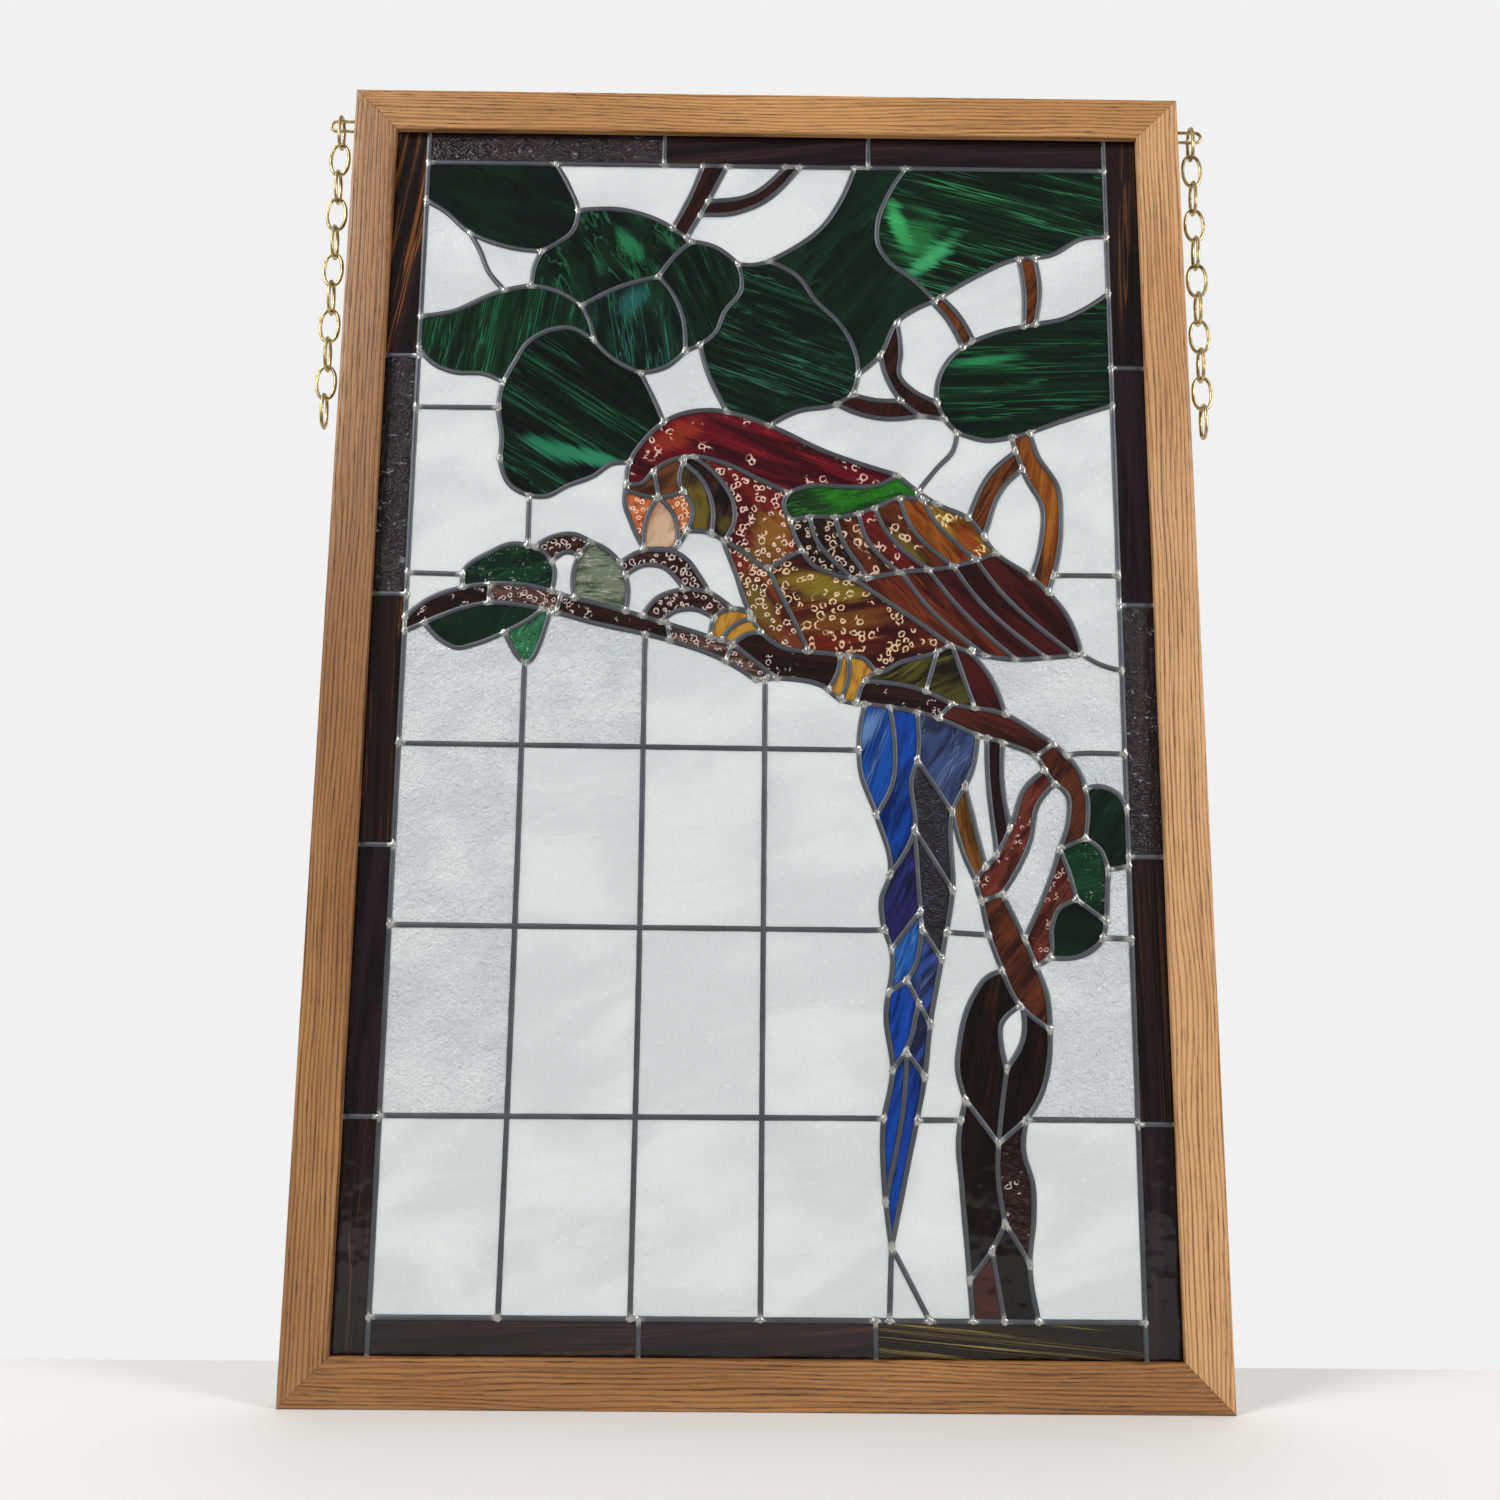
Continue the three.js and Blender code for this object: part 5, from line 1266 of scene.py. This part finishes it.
def came(line, settings, draw):
    """One lead: an H section with rounded faces carried along a line, a little uneven in width and height.

    Across the line the faces are half circles flattened to the came's height. Each point of the section goes
    out along the line's normal by its share of the half face, and back or forward by its depth.
    """
    half = settings.came_face / 2 / MM
    lip = GLASS_FRONT - LIP_GAP
    back_lip = GLASS_BACK + LIP_GAP
    crown = lip - (PANEL_LOW[1] + FACE_ROOM)
    angle = np.linspace(0, math.pi, 7)
    front = np.stack([np.cos(angle), lip - crown * np.sin(angle) ** 0.8], 1)
    back = np.stack([-np.cos(angle), back_lip + crown * np.sin(angle) ** 0.8], 1)
    left_heart = [(-HALF_HEART, lip), (-HALF_HEART, back_lip)]
    right_heart = [(HALF_HEART, back_lip), (HALF_HEART, lip)]
    section = np.concatenate([front, left_heart, back, right_heart])
    run = np.gradient(line, axis=0)
    run /= np.linalg.norm(run, axis=1)[:, None]
    normal = np.stack([run[:, 1], -run[:, 0]], 1)
    x, z = on_panel(line).T
    wobble = settings.unevenness
    width = half * (1 + wobble * waves(x, z, 30, draw))[:, None] * section[:, 0]
    swell = 1 + 0.5 * wobble * waves(x, z, 18, draw)[:, None]
    middle = (GLASS_FRONT + GLASS_BACK) / 2
    depth = middle + (section[:, 1] - middle) * np.clip(swell, None, 1.0)
    points = np.stack([x[:, None] + normal[:, :1] * width, depth, z[:, None] + normal[:, 1:] * width], -1)
    sides = len(section)
    faces = [ring_faces(len(line), sides, False)[:, ::-1], end_faces(len(line), sides)[:, ::-1]]
    return points.reshape(-1, 3), faces


JOINT_ROOM = 5.0
SPOKES = 24
SOLDER_RINGS = 6


def joints_of(lines):
    """The points where leads meet: every end of a lead, with close ones taken as one."""
    ends = np.array([line[tip] for name, line in lines.items() if name in LEADS for tip in (0, -1)])
    away = np.linalg.norm(ends[:, None] - ends[None], axis=-1)
    crowded = np.tril(away < JOINT_ROOM, -1)
    kept = []
    for k in range(len(ends)):
        if not crowded[k, kept].any():
            kept.append(k)
    return ends[kept]


def solder(joint, starts, ends, settings, draw, face):
    """One solder joint: a flat dome whose rim reaches out along each lead that meets there.

    The rim's reach at an angle is a base plus an arm, and the arm is weighted by how close a lead passes at
    that angle. Height falls from the middle to the rim as the root of one less the squared share of the way.
    """
    angle = 2 * math.pi * np.arange(SPOKES) / SPOKES
    heading = np.stack([np.cos(angle), np.sin(angle)], 1)
    away, _ = distances(joint + heading * ARM_PROBE, starts, ends)
    along = np.exp(-((away.min(1) / ARM_SPREAD) ** 2))
    arm = draw.uniform(2.2, 5.2, SPOKES)
    arm = (arm + np.roll(arm, 1) + np.roll(arm, -1)) / 3
    reach = settings.solder_base / MM * draw.uniform(0.9, 1.1) + along * arm
    share = np.linspace(0, 1, SOLDER_RINGS + 1)[1:]
    lump = 1 + 0.12 * draw.standard_normal((SOLDER_RINGS, SPOKES)) * (1 - share[:, None])
    height = np.sqrt(np.clip(1 - share**2.4, 0, 1))[:, None] * lump
    top = settings.solder_height / MM * draw.uniform(0.85, 1.05)
    flat = on_panel(joint) + (share[:, None, None] * reach[:, None]) * heading
    rise = np.concatenate([[top], (top * height).ravel()])
    x = np.concatenate([[on_panel(joint)[0]], flat[..., 0].ravel()])
    z = np.concatenate([[on_panel(joint)[1]], flat[..., 1].ravel()])
    base, sign = (GLASS_FRONT - SOLDER_GAP, -1) if face == "front" else (GLASS_BACK + SOLDER_GAP, 1)
    points = np.stack([x, base + sign * rise, z], 1)
    floor = base - sign * SOLDER_SINK
    last = 1 + (SOLDER_RINGS - 1) * SPOKES
    foot = points[last:].copy()
    foot[:, 1] = floor
    centre = points[:1].copy()
    centre[:, 1] = floor
    points = np.concatenate([points, foot, centre])
    spoke = np.arange(SPOKES)
    beside = (spoke + 1) % SPOKES
    fan = np.stack([np.zeros(SPOKES, int), 1 + spoke, 1 + beside], 1)
    bands = ring_faces(SOLDER_RINGS + 1, SPOKES, False) + 1
    tail = 1 + SOLDER_RINGS * SPOKES
    under = np.stack([np.full(SPOKES, tail + SPOKES), tail + beside, tail + spoke], 1)
    faces = [np.concatenate([fan, under]), bands[:, [0, 3, 2, 1]]]
    if face == "back":
        faces = [f[:, ::-1] for f in faces]
    return points, faces


GROOVE_PLAY = 0.3
MITRE_GAP = 0.2


def member(outer, inner, half_length, axis, settings, draw):
    """One frame board with mitred ends, eased edges and a groove for the panel.

    The section's first coordinate runs from the outer edge at 0 to the inner edge at the board's face width,
    and its second is the depth. Along the board a point lies at a share, from -1 to 1, of the half length
    less its distance from the outer edge, which makes the mitres.
    """
    face = abs(outer - inner)
    front, back = RAIL_LOW[1], RAIL_HIGH[1]
    ease = settings.edge_radius / MM
    turn = np.linspace(0, math.pi / 2, 5)
    arc = np.stack([1 - np.cos(turn), 1 - np.sin(turn)], 1) * ease
    groove_front, groove_back = PANEL_LOW[1] - GROOVE_PLAY, PANEL_HIGH[1] + GROOVE_PLAY
    depth = PANEL_TUCK + GROOVE_PLAY
    section = np.concatenate([
        arc * (1, 1) + (0, front),
        np.stack([np.linspace(ease, face - ease, 10)[1:-1], np.full(8, front)], 1),
        (arc * (-1, 1))[::-1] + (face, front),
        [(face, groove_front), (face - depth, groove_front)],
        [(face - depth, groove_back), (face, groove_back)],
        (arc * (-1, -1)) + (face, back),
        (arc * (1, -1))[::-1] + (0, back),
    ])
    stations = max(2, round(2 * half_length / 7))
    share = np.linspace(-1, 1, stations)[:, None]
    along = share * (half_length - section[:, 0] - MITRE_GAP)
    across = np.broadcast_to(section[:, 0], along.shape)
    deep = np.broadcast_to(section[:, 1], along.shape)
    is_edge = (section[:, 1] < front + ease) & ((section[:, 0] < ease) | (section[:, 0] > face - ease))
    wear = settings.wear / MM * np.clip(waves(along, across * 3, 22, draw), 0, 1) * is_edge
    middle = face / 2
    across = across + wear * np.sign(middle - across) * 0.7
    deep = deep + wear
    level = outer + np.sign(inner - outer) * across
    points = np.stack([along, deep, level] if axis == "X" else [level, deep, along], -1).reshape(-1, 3)
    sides = len(section)
    faces = [ring_faces(stations, sides, False), end_faces(stations, sides)]
    turns_over = (inner < outer) == (axis == "X")
    return points, [f[:, ::-1] if turns_over else f for f in faces]


def wire(path, across, radius, sides, closed):
    """A round wire along a path that lies in one plane, whose normal is given.

    A ring's point at an angle is the path's point plus the radius times the cosine along that normal and the
    sine along the line square to both it and the path.
    """
    if closed:
        run = np.roll(path, -1, axis=0) - np.roll(path, 1, axis=0)
    else:
        run = np.gradient(path, axis=0)
    run /= np.linalg.norm(run, axis=1)[:, None]
    out = np.cross(run, across)
    angle = 2 * math.pi * np.arange(sides) / sides
    radius = np.broadcast_to(radius, len(path))[:, None, None]
    ring = np.cos(angle)[:, None] * np.asarray(across, float) + np.sin(angle)[:, None] * out[:, None]
    points = (path[:, None] + radius * ring).reshape(-1, 3)
    faces = [ring_faces(len(path), sides, closed)]
    if not closed:
        faces.append(end_faces(len(path), sides))
    return points, faces


LINKS_JOINED = 10
STAPLE_WIRE = 2.8
LINK_LENGTH = 33.0
LINK_WIDTH = 19.6
LINK_WIRE = 3.2
LINK_STATIONS = 56
LINK_SIDES = 14


def link(centre, edge_on, draw):
    """One oval link. Its centre line is a rounded oval, and the wire is thinner over the short seam."""
    angle = 2 * math.pi * np.arange(LINK_STATIONS) / LINK_STATIONS
    wide, tall = (LINK_WIDTH - LINK_WIRE) / 2, (LINK_LENGTH - LINK_WIRE) / 2
    flat = np.abs(np.cos(angle)) ** 0.86 * np.sign(np.cos(angle)) * wide
    high = np.abs(np.sin(angle)) ** 0.94 * np.sign(np.sin(angle)) * tall
    seam = np.exp(-((np.angle(np.exp(1j * (angle - math.pi))) / 0.09) ** 2))
    radius = LINK_WIRE / 2 * (0.97 - 0.13 * seam)
    tilt = math.radians(draw.uniform(-5, 5))
    forward = np.array([math.sin(tilt), math.cos(tilt), 0.0]) if not edge_on else np.array([1.0, 0.0, 0.0])
    side = np.array([forward[1], -forward[0], 0.0]) if not edge_on else np.array([0.0, -1.0, 0.0])
    path = centre + flat[:, None] * side + high[:, None] * (0, 0, 1)
    return wire(path, forward, radius, LINK_SIDES, True)


def closed_up(piece):
    """Turns every face of a closed piece outwards."""
    work = bmesh.new()
    work.from_mesh(piece.data)
    bmesh.ops.recalc_face_normals(work, faces=work.faces)
    work.to_mesh(piece.data)
    work.free()


class PanelSettings(bpy.types.PropertyGroup):
    """Sizes of the leadwork and its solder."""

    came_face: bpy.props.FloatProperty(
        name="Came face", description="Width of a lead seen from the front",
        default=0.0044, min=0.003, max=0.012, precision=4, subtype="DISTANCE", unit="LENGTH")
    unevenness: bpy.props.FloatProperty(
        name="Unevenness", description="How much a lead's width varies along it",
        default=0.12, min=0.0, max=0.4, subtype="FACTOR")
    solder_base: bpy.props.FloatProperty(
        name="Solder width", description="Reach of a solder joint from its middle, away from the leads",
        default=0.0030, min=0.001, max=0.01, precision=4, subtype="DISTANCE", unit="LENGTH")
    solder_height: bpy.props.FloatProperty(
        name="Solder height", description="How far a solder joint stands out from the glass",
        default=0.0017, min=0.001, max=0.004, precision=4, subtype="DISTANCE", unit="LENGTH")


class OakSettings(bpy.types.PropertyGroup):
    """Sizes of the oak frame, and the colours of its right stile."""

    edge_radius: bpy.props.FloatProperty(
        name="Edge radius", description="Rounding of the boards' edges",
        default=0.0012, min=0.0002, max=0.006, precision=4, subtype="DISTANCE", unit="LENGTH")
    wear: bpy.props.FloatProperty(
        name="Edge wear", description="Depth of the wear along the front edges",
        default=0.0006, min=0.0, max=0.003, precision=4, subtype="DISTANCE", unit="LENGTH")
    light: bpy.props.StringProperty(
        name="Light wood", description="Screen colour of the palest oak", default="#cf9f6e")
    mid: bpy.props.StringProperty(
        name="Wood", description="Screen colour of most of the oak", default="#bd8a58")
    dark: bpy.props.StringProperty(
        name="Grain", description="Screen colour of the oak's grain", default="#80552f")


class StudioSettings(bpy.types.PropertyGroup):
    """The studio round the window."""

    floor_colour: bpy.props.FloatVectorProperty(
        name="Floor colour", description="Colour of the plain floor",
        default=(0.78, 0.77, 0.75, 1.0), size=4, min=0.0, max=1.0, subtype="COLOR")
    sky: bpy.props.FloatProperty(
        name="Surround", description="Brightness of the pale surround",
        default=0.88, min=0.0, max=10.0)
    key: bpy.props.FloatProperty(
        name="Key light", description="Power of the large soft light",
        default=60.0, min=0.0, max=2000.0, subtype="POWER", unit="POWER")


class WINDOW_OT_glass(bpy.types.Operator):
    """Cuts the panes along the leads and gives each sheet its finishes"""

    bl_idname = "leaded_window.glass"
    bl_label = "Glass"

    def execute(self, context):
        made = {}
        for sheet, panes in panes_of(drawn_leads()).items():
            points, faces = joined([(p, f) for p, f, _, _ in panes])
            looks = list(dict.fromkeys(look for _, _, look, _ in panes))
            for look in looks:
                if look not in made:
                    made[look] = glass_material(look)
            groups = {}
            for p, f, look, _ in panes:
                for group in f:
                    groups.setdefault(group.shape[1], []).append(np.full(len(group), looks.index(look)))
            choice = np.concatenate([np.concatenate(group) for group in groups.values()])
            cuts = np.concatenate([np.broadcast_to(cut, (len(p), 3)) for p, _, _, cut in panes])
            piece = add_object("pane_" + sheet, points, faces, [made[look] for look in looks], choice,
                               {"cut": cuts}, sharp=40)
            slot = next((slot for slot, sheets in SLOTS.items() if sheet in sheets), "sky_glass")
            part_of_window(piece, slot, "glass_" + sheet)
        return {"FINISHED"}


# The pieces that the came is made as, each with the first of its leads.
LEAD_GROUPS = {
    "came_background": "rim_left", "came_leaves": "leaf_one_right", "came_bird": "head_top",
    "came_branch": "branch_top",
}


class WINDOW_OT_leads(bpy.types.Operator):
    """Draws a came along every lead line, and a rim came round the panel"""

    bl_idname = "leaded_window.leads"
    bl_label = "Leads"

    def execute(self, context):
        settings = context.scene.leaded_panel
        lines = drawn_leads()
        joints = joints_of(lines)
        material = lead_material()
        draw = np.random.default_rng(5)
        names = list(lines)
        firsts = [names.index(first) for first in LEAD_GROUPS.values()] + [len(names)]
        for name, first, last in zip(LEAD_GROUPS, firsts, firsts[1:]):
            group = [lines[key] for key in names[first:last]]
            parts = [came(line, settings, draw) for line in group]
            points, faces = joined(parts)
            stations = np.concatenate(group)
            near = np.linalg.norm(stations[:, None] - joints[None], axis=-1).min(1)
            tin = np.repeat(np.exp(-near / 5.0), len(points) // len(stations))
            piece = add_object(name, points, faces, [material], None, {"tin": tin}, sharp=50)
            part_of_window(piece, "lead", "leadwork")
        return {"FINISHED"}


class WINDOW_OT_solder(bpy.types.Operator):
    """Puts a solder joint wherever leads meet, on the front and on the back"""

    bl_idname = "leaded_window.solder"
    bl_label = "Solder"

    def execute(self, context):
        settings = context.scene.leaded_panel
        lines = drawn_leads()
        starts = np.concatenate([line[:-1] for line in lines.values()])
        ends = np.concatenate([line[1:] for line in lines.values()])
        material = solder_material()
        draw = np.random.default_rng(11)
        for face in ("front", "back"):
            parts = [solder(joint, starts, ends, settings, draw, face) for joint in joints_of(lines)]
            points, faces = joined(parts)
            piece = add_object("solder_" + face, points, faces, [material])
            part_of_window(piece, "lead")
        return {"FINISHED"}


class WINDOW_OT_frame(bpy.types.Operator):
    """Makes the four mitred oak boards"""

    bl_idname = "leaded_window.oak_frame"
    bl_label = "Oak frame"

    def execute(self, context):
        settings = context.scene.leaded_oak
        draw = np.random.default_rng(3)
        top, foot = RAIL_HIGH[2], FOOT_LOW[2]
        side = cad_box("right_stile")[1][0]
        tall = (top - foot) / 2
        middle = (top + foot) / 2
        light, mid, dark = settings.light, settings.mid, settings.dark
        boards = (
            ("top_rail", top, top - MEMBER_FACE, side, "X", "#c4915a", "#b07e4a", "#74491f", None),
            ("bottom_rail", foot, foot + MEMBER_FACE, side, "X", "#ae7a46", "#966535", "#5e3b1c", None),
            ("left_stile", -side, -side + MEMBER_FACE, tall, "Z", "#a97a4a", "#926338", "#5a3819",
             (-side + 10.0, foot + 34.0, 16.0, "#4a2c18")),
            ("right_stile", side, side - MEMBER_FACE, tall, "Z", light, mid, dark, None),
        )
        for name, outer, inner, half, axis, pale, body, grain, stain in boards:
            points, faces = member(outer, inner, half, axis, settings, draw)
            if axis == "Z":
                points = points + (0, 0, middle)
            material = oak_material("oak_" + name, axis, pale, body, grain, stain)
            piece = add_object("oak_" + name, points, faces, [material], sharp=35)
            closed_up(piece)
            part_of_window(piece, "oak", name)
        return {"FINISHED"}


class WINDOW_OT_chains(bpy.types.Operator):
    """Hangs a chain of oval brass links from the staple at each side"""

    bl_idname = "leaded_window.chains"
    bl_label = "Chains"

    def execute(self, context):
        material = brass_material()
        draw = np.random.default_rng(7)
        for hand in ("left", "right"):
            low, high = cad_box(hand + "_chain")
            end_low, end_high = cad_box(hand + "_end_link")
            x, y = (low[:2] + high[:2]) / 2
            heights = np.linspace(high[2] - LINK_LENGTH / 2, low[2] + LINK_LENGTH / 2, LINKS_JOINED)
            parts = [link(np.array([x, y, z]), i % 2 == 0, draw) for i, z in enumerate(heights)]
            last = link(np.array([x, y, (end_low[2] + end_high[2]) / 2]), LINKS_JOINED % 2 == 0, draw)
            for suffix, (points, faces) in (("_chain", joined(parts)), ("_end_link", last)):
                piece = add_object("brass_" + hand + suffix, points, faces, [material])
                closed_up(piece)
                part_of_window(piece, "brass", hand + suffix)
        return {"FINISHED"}


class WINDOW_OT_staples(bpy.types.Operator):
    """Drives a wire staple into the outer side of each stile"""

    bl_idname = "leaded_window.staples"
    bl_label = "Staples"

    def execute(self, context):
        material = brass_material()
        for hand, sign in (("left", -1), ("right", 1)):
            low, high = cad_box(hand + "_staple")
            radius = STAPLE_WIRE / 2
            y = (low[1] + high[1]) / 2
            upper, lower = high[2] - radius, low[2] + radius
            bend = (upper - lower) / 2
            outer = (high[0] if sign > 0 else -low[0]) - radius - bend
            inner = (low[0] if sign > 0 else -high[0])
            angle = np.linspace(math.pi / 2, -math.pi / 2, 15)
            legs = np.linspace(inner, outer, 24, endpoint=False)
            reach = np.concatenate([legs, outer + bend * np.cos(angle), legs[::-1]])
            level = np.concatenate([
                np.full(len(legs), upper), (upper + lower) / 2 + bend * np.sin(angle),
                np.full(len(legs), lower)])
            path = np.stack([sign * reach, np.full(len(reach), y), level], 1)
            points, faces = wire(path, (0.0, 1.0, 0.0), radius, 16, False)
            piece = add_object("brass_" + hand + "_staple", points, faces, [material])
            closed_up(piece)
            part_of_window(piece, "brass", hand + "_staple")
        return {"FINISHED"}


# The camera's place in metres and its three directions, then the floor in millimetres.
CAMERA_LENS = 34.8
CAMERA_SENSOR = 36.0
CAMERA_PLACE = (-0.0192, -1.215, -0.796)
CAMERA_AHEAD = (0.00725, 0.98496, 0.17263)
CAMERA_RIGHT = (0.99992, -0.00895, 0.00905)
CAMERA_UP = (-0.01046, -0.17255, 0.98494)
FLOOR_SIDES = (-1400, 1400, -900, 135)
FLOOR_THICKNESS = 40
FLOOR_GAP = 0.2
FLOOR_ROUGHNESS = 0.7


def placed(columns, place):
    """The matrix of an object that stands at a place, with its own three directions as columns."""
    return Matrix([(*row, at) for row, at in zip(columns, place)] + [(0, 0, 0, 1)])


class WINDOW_OT_studio(bpy.types.Operator):
    """Sets up the pale floor, the soft lights and the camera"""

    bl_idname = "leaded_window.studio"
    bl_label = "Studio"

    def execute(self, context):
        settings = context.scene.leaded_studio
        scene = context.scene
        left, right, near, far = FLOOR_SIDES
        floor = np.array([(left, near, 0), (right, near, 0), (right, far, 0), (left, far, 0)], float)
        floor = np.concatenate([floor, floor - (0, 0, FLOOR_THICKNESS)]) + (0, 0, FOOT_LOW[2] - FLOOR_GAP)
        faces = np.array([(0, 1, 2, 3), (7, 6, 5, 4), (0, 4, 5, 1), (1, 5, 6, 2), (2, 6, 7, 3), (3, 7, 4, 0)])
        pale = plain_material("floor", tuple(settings.floor_colour), FLOOR_ROUGHNESS)
        slab = add_object("floor", floor, [faces], [pale], smooth=False)
        world = bpy.data.worlds.new("surround")
        world.use_nodes = True
        tree = world.node_tree
        background = tree.nodes["Background"]
        background.inputs["Strength"].default_value = settings.sky
        heading = tree.nodes.new("ShaderNodeTexCoord")
        parts = tree.nodes.new("ShaderNodeSeparateXYZ")
        shade = tree.nodes.new("ShaderNodeMapRange")
        shade.interpolation_type = "SMOOTHSTEP"
        shade.inputs["From Min"].default_value = -0.6
        shade.inputs["From Max"].default_value = 0.5
        shade.inputs["To Min"].default_value = 0.3
        tree.links.new(heading.outputs["Generated"], parts.inputs[0])
        tree.links.new(parts.outputs["Y"], shade.inputs["Value"])
        path = tree.nodes.new("ShaderNodeLightPath")
        seen = tree.nodes.new("ShaderNodeMath")
        seen.operation = "MAXIMUM"
        tree.links.new(shade.outputs["Result"], seen.inputs[0])
        tree.links.new(path.outputs["Is Camera Ray"], seen.inputs[1])
        tree.links.new(seen.outputs[0], background.inputs["Color"])
        scene.world = world
        scene.view_settings.view_transform = "Standard"
        for name, place, aim, size, power in (
            ("key", (-1.9, -1.7, 1.1), (0, 0, -0.5), 0.9, settings.key),
            ("fill", (2.0, -1.5, 0.3), (0, 0, -0.6), 0.7, settings.key * 0.6),
        ):
            lamp = bpy.data.lights.new(name, "AREA")
            lamp.energy = power
            lamp.size = size
            holder = bpy.data.objects.new(name, lamp)
            ahead = np.array(aim, float) - place
            ahead /= np.linalg.norm(ahead)
            aside = np.cross(ahead, (0, 0, 1))
            aside /= np.linalg.norm(aside)
            holder.matrix_world = placed(np.stack([aside, np.cross(aside, ahead), -ahead], 1), place)
            scene.collection.objects.link(holder)
        data = bpy.data.cameras.new("camera")
        data.lens = CAMERA_LENS
        data.sensor_width = CAMERA_SENSOR
        camera = bpy.data.objects.new("camera", data)
        columns = np.stack([CAMERA_RIGHT, CAMERA_UP, -np.array(CAMERA_AHEAD)], 1)
        camera.matrix_world = placed(columns, CAMERA_PLACE)
        scene.collection.objects.link(camera)
        scene.camera = camera
        return {"FINISHED"}


class WINDOW_PT_panel(bpy.types.Panel):
    """Lists the window's settings and the steps that build it"""

    bl_label = "Leaded window"
    bl_idname = "WINDOW_PT_panel"
    bl_space_type = "VIEW_3D"
    bl_region_type = "UI"
    bl_category = "Leaded Window"

    def draw(self, context):
        for group in (context.scene.leaded_panel, context.scene.leaded_oak, context.scene.leaded_studio):
            box = self.layout.box()
            for key in group.__annotations__:
                box.prop(group, key)
        for operator in OPERATORS:
            self.layout.operator(operator.bl_idname)


SETTINGS = {"leaded_panel": PanelSettings, "leaded_oak": OakSettings, "leaded_studio": StudioSettings}
OPERATORS = (
    WINDOW_OT_glass, WINDOW_OT_leads, WINDOW_OT_solder, WINDOW_OT_frame, WINDOW_OT_chains, WINDOW_OT_staples,
    WINDOW_OT_studio,
)


def register():
    for group in SETTINGS.values():
        bpy.utils.register_class(group)
    for name, group in SETTINGS.items():
        setattr(bpy.types.Scene, name, bpy.props.PointerProperty(type=group))
    for operator in OPERATORS:
        bpy.utils.register_class(operator)
    bpy.utils.register_class(WINDOW_PT_panel)


def unregister():
    bpy.utils.unregister_class(WINDOW_PT_panel)
    for operator in reversed(OPERATORS):
        bpy.utils.unregister_class(operator)
    for name, group in SETTINGS.items():
        delattr(bpy.types.Scene, name)
        bpy.utils.unregister_class(group)


def main():
    register()
    for operator in OPERATORS:
        family, name = operator.bl_idname.split(".")
        getattr(getattr(bpy.ops, family), name)()


if __name__ == "__main__":
    main()
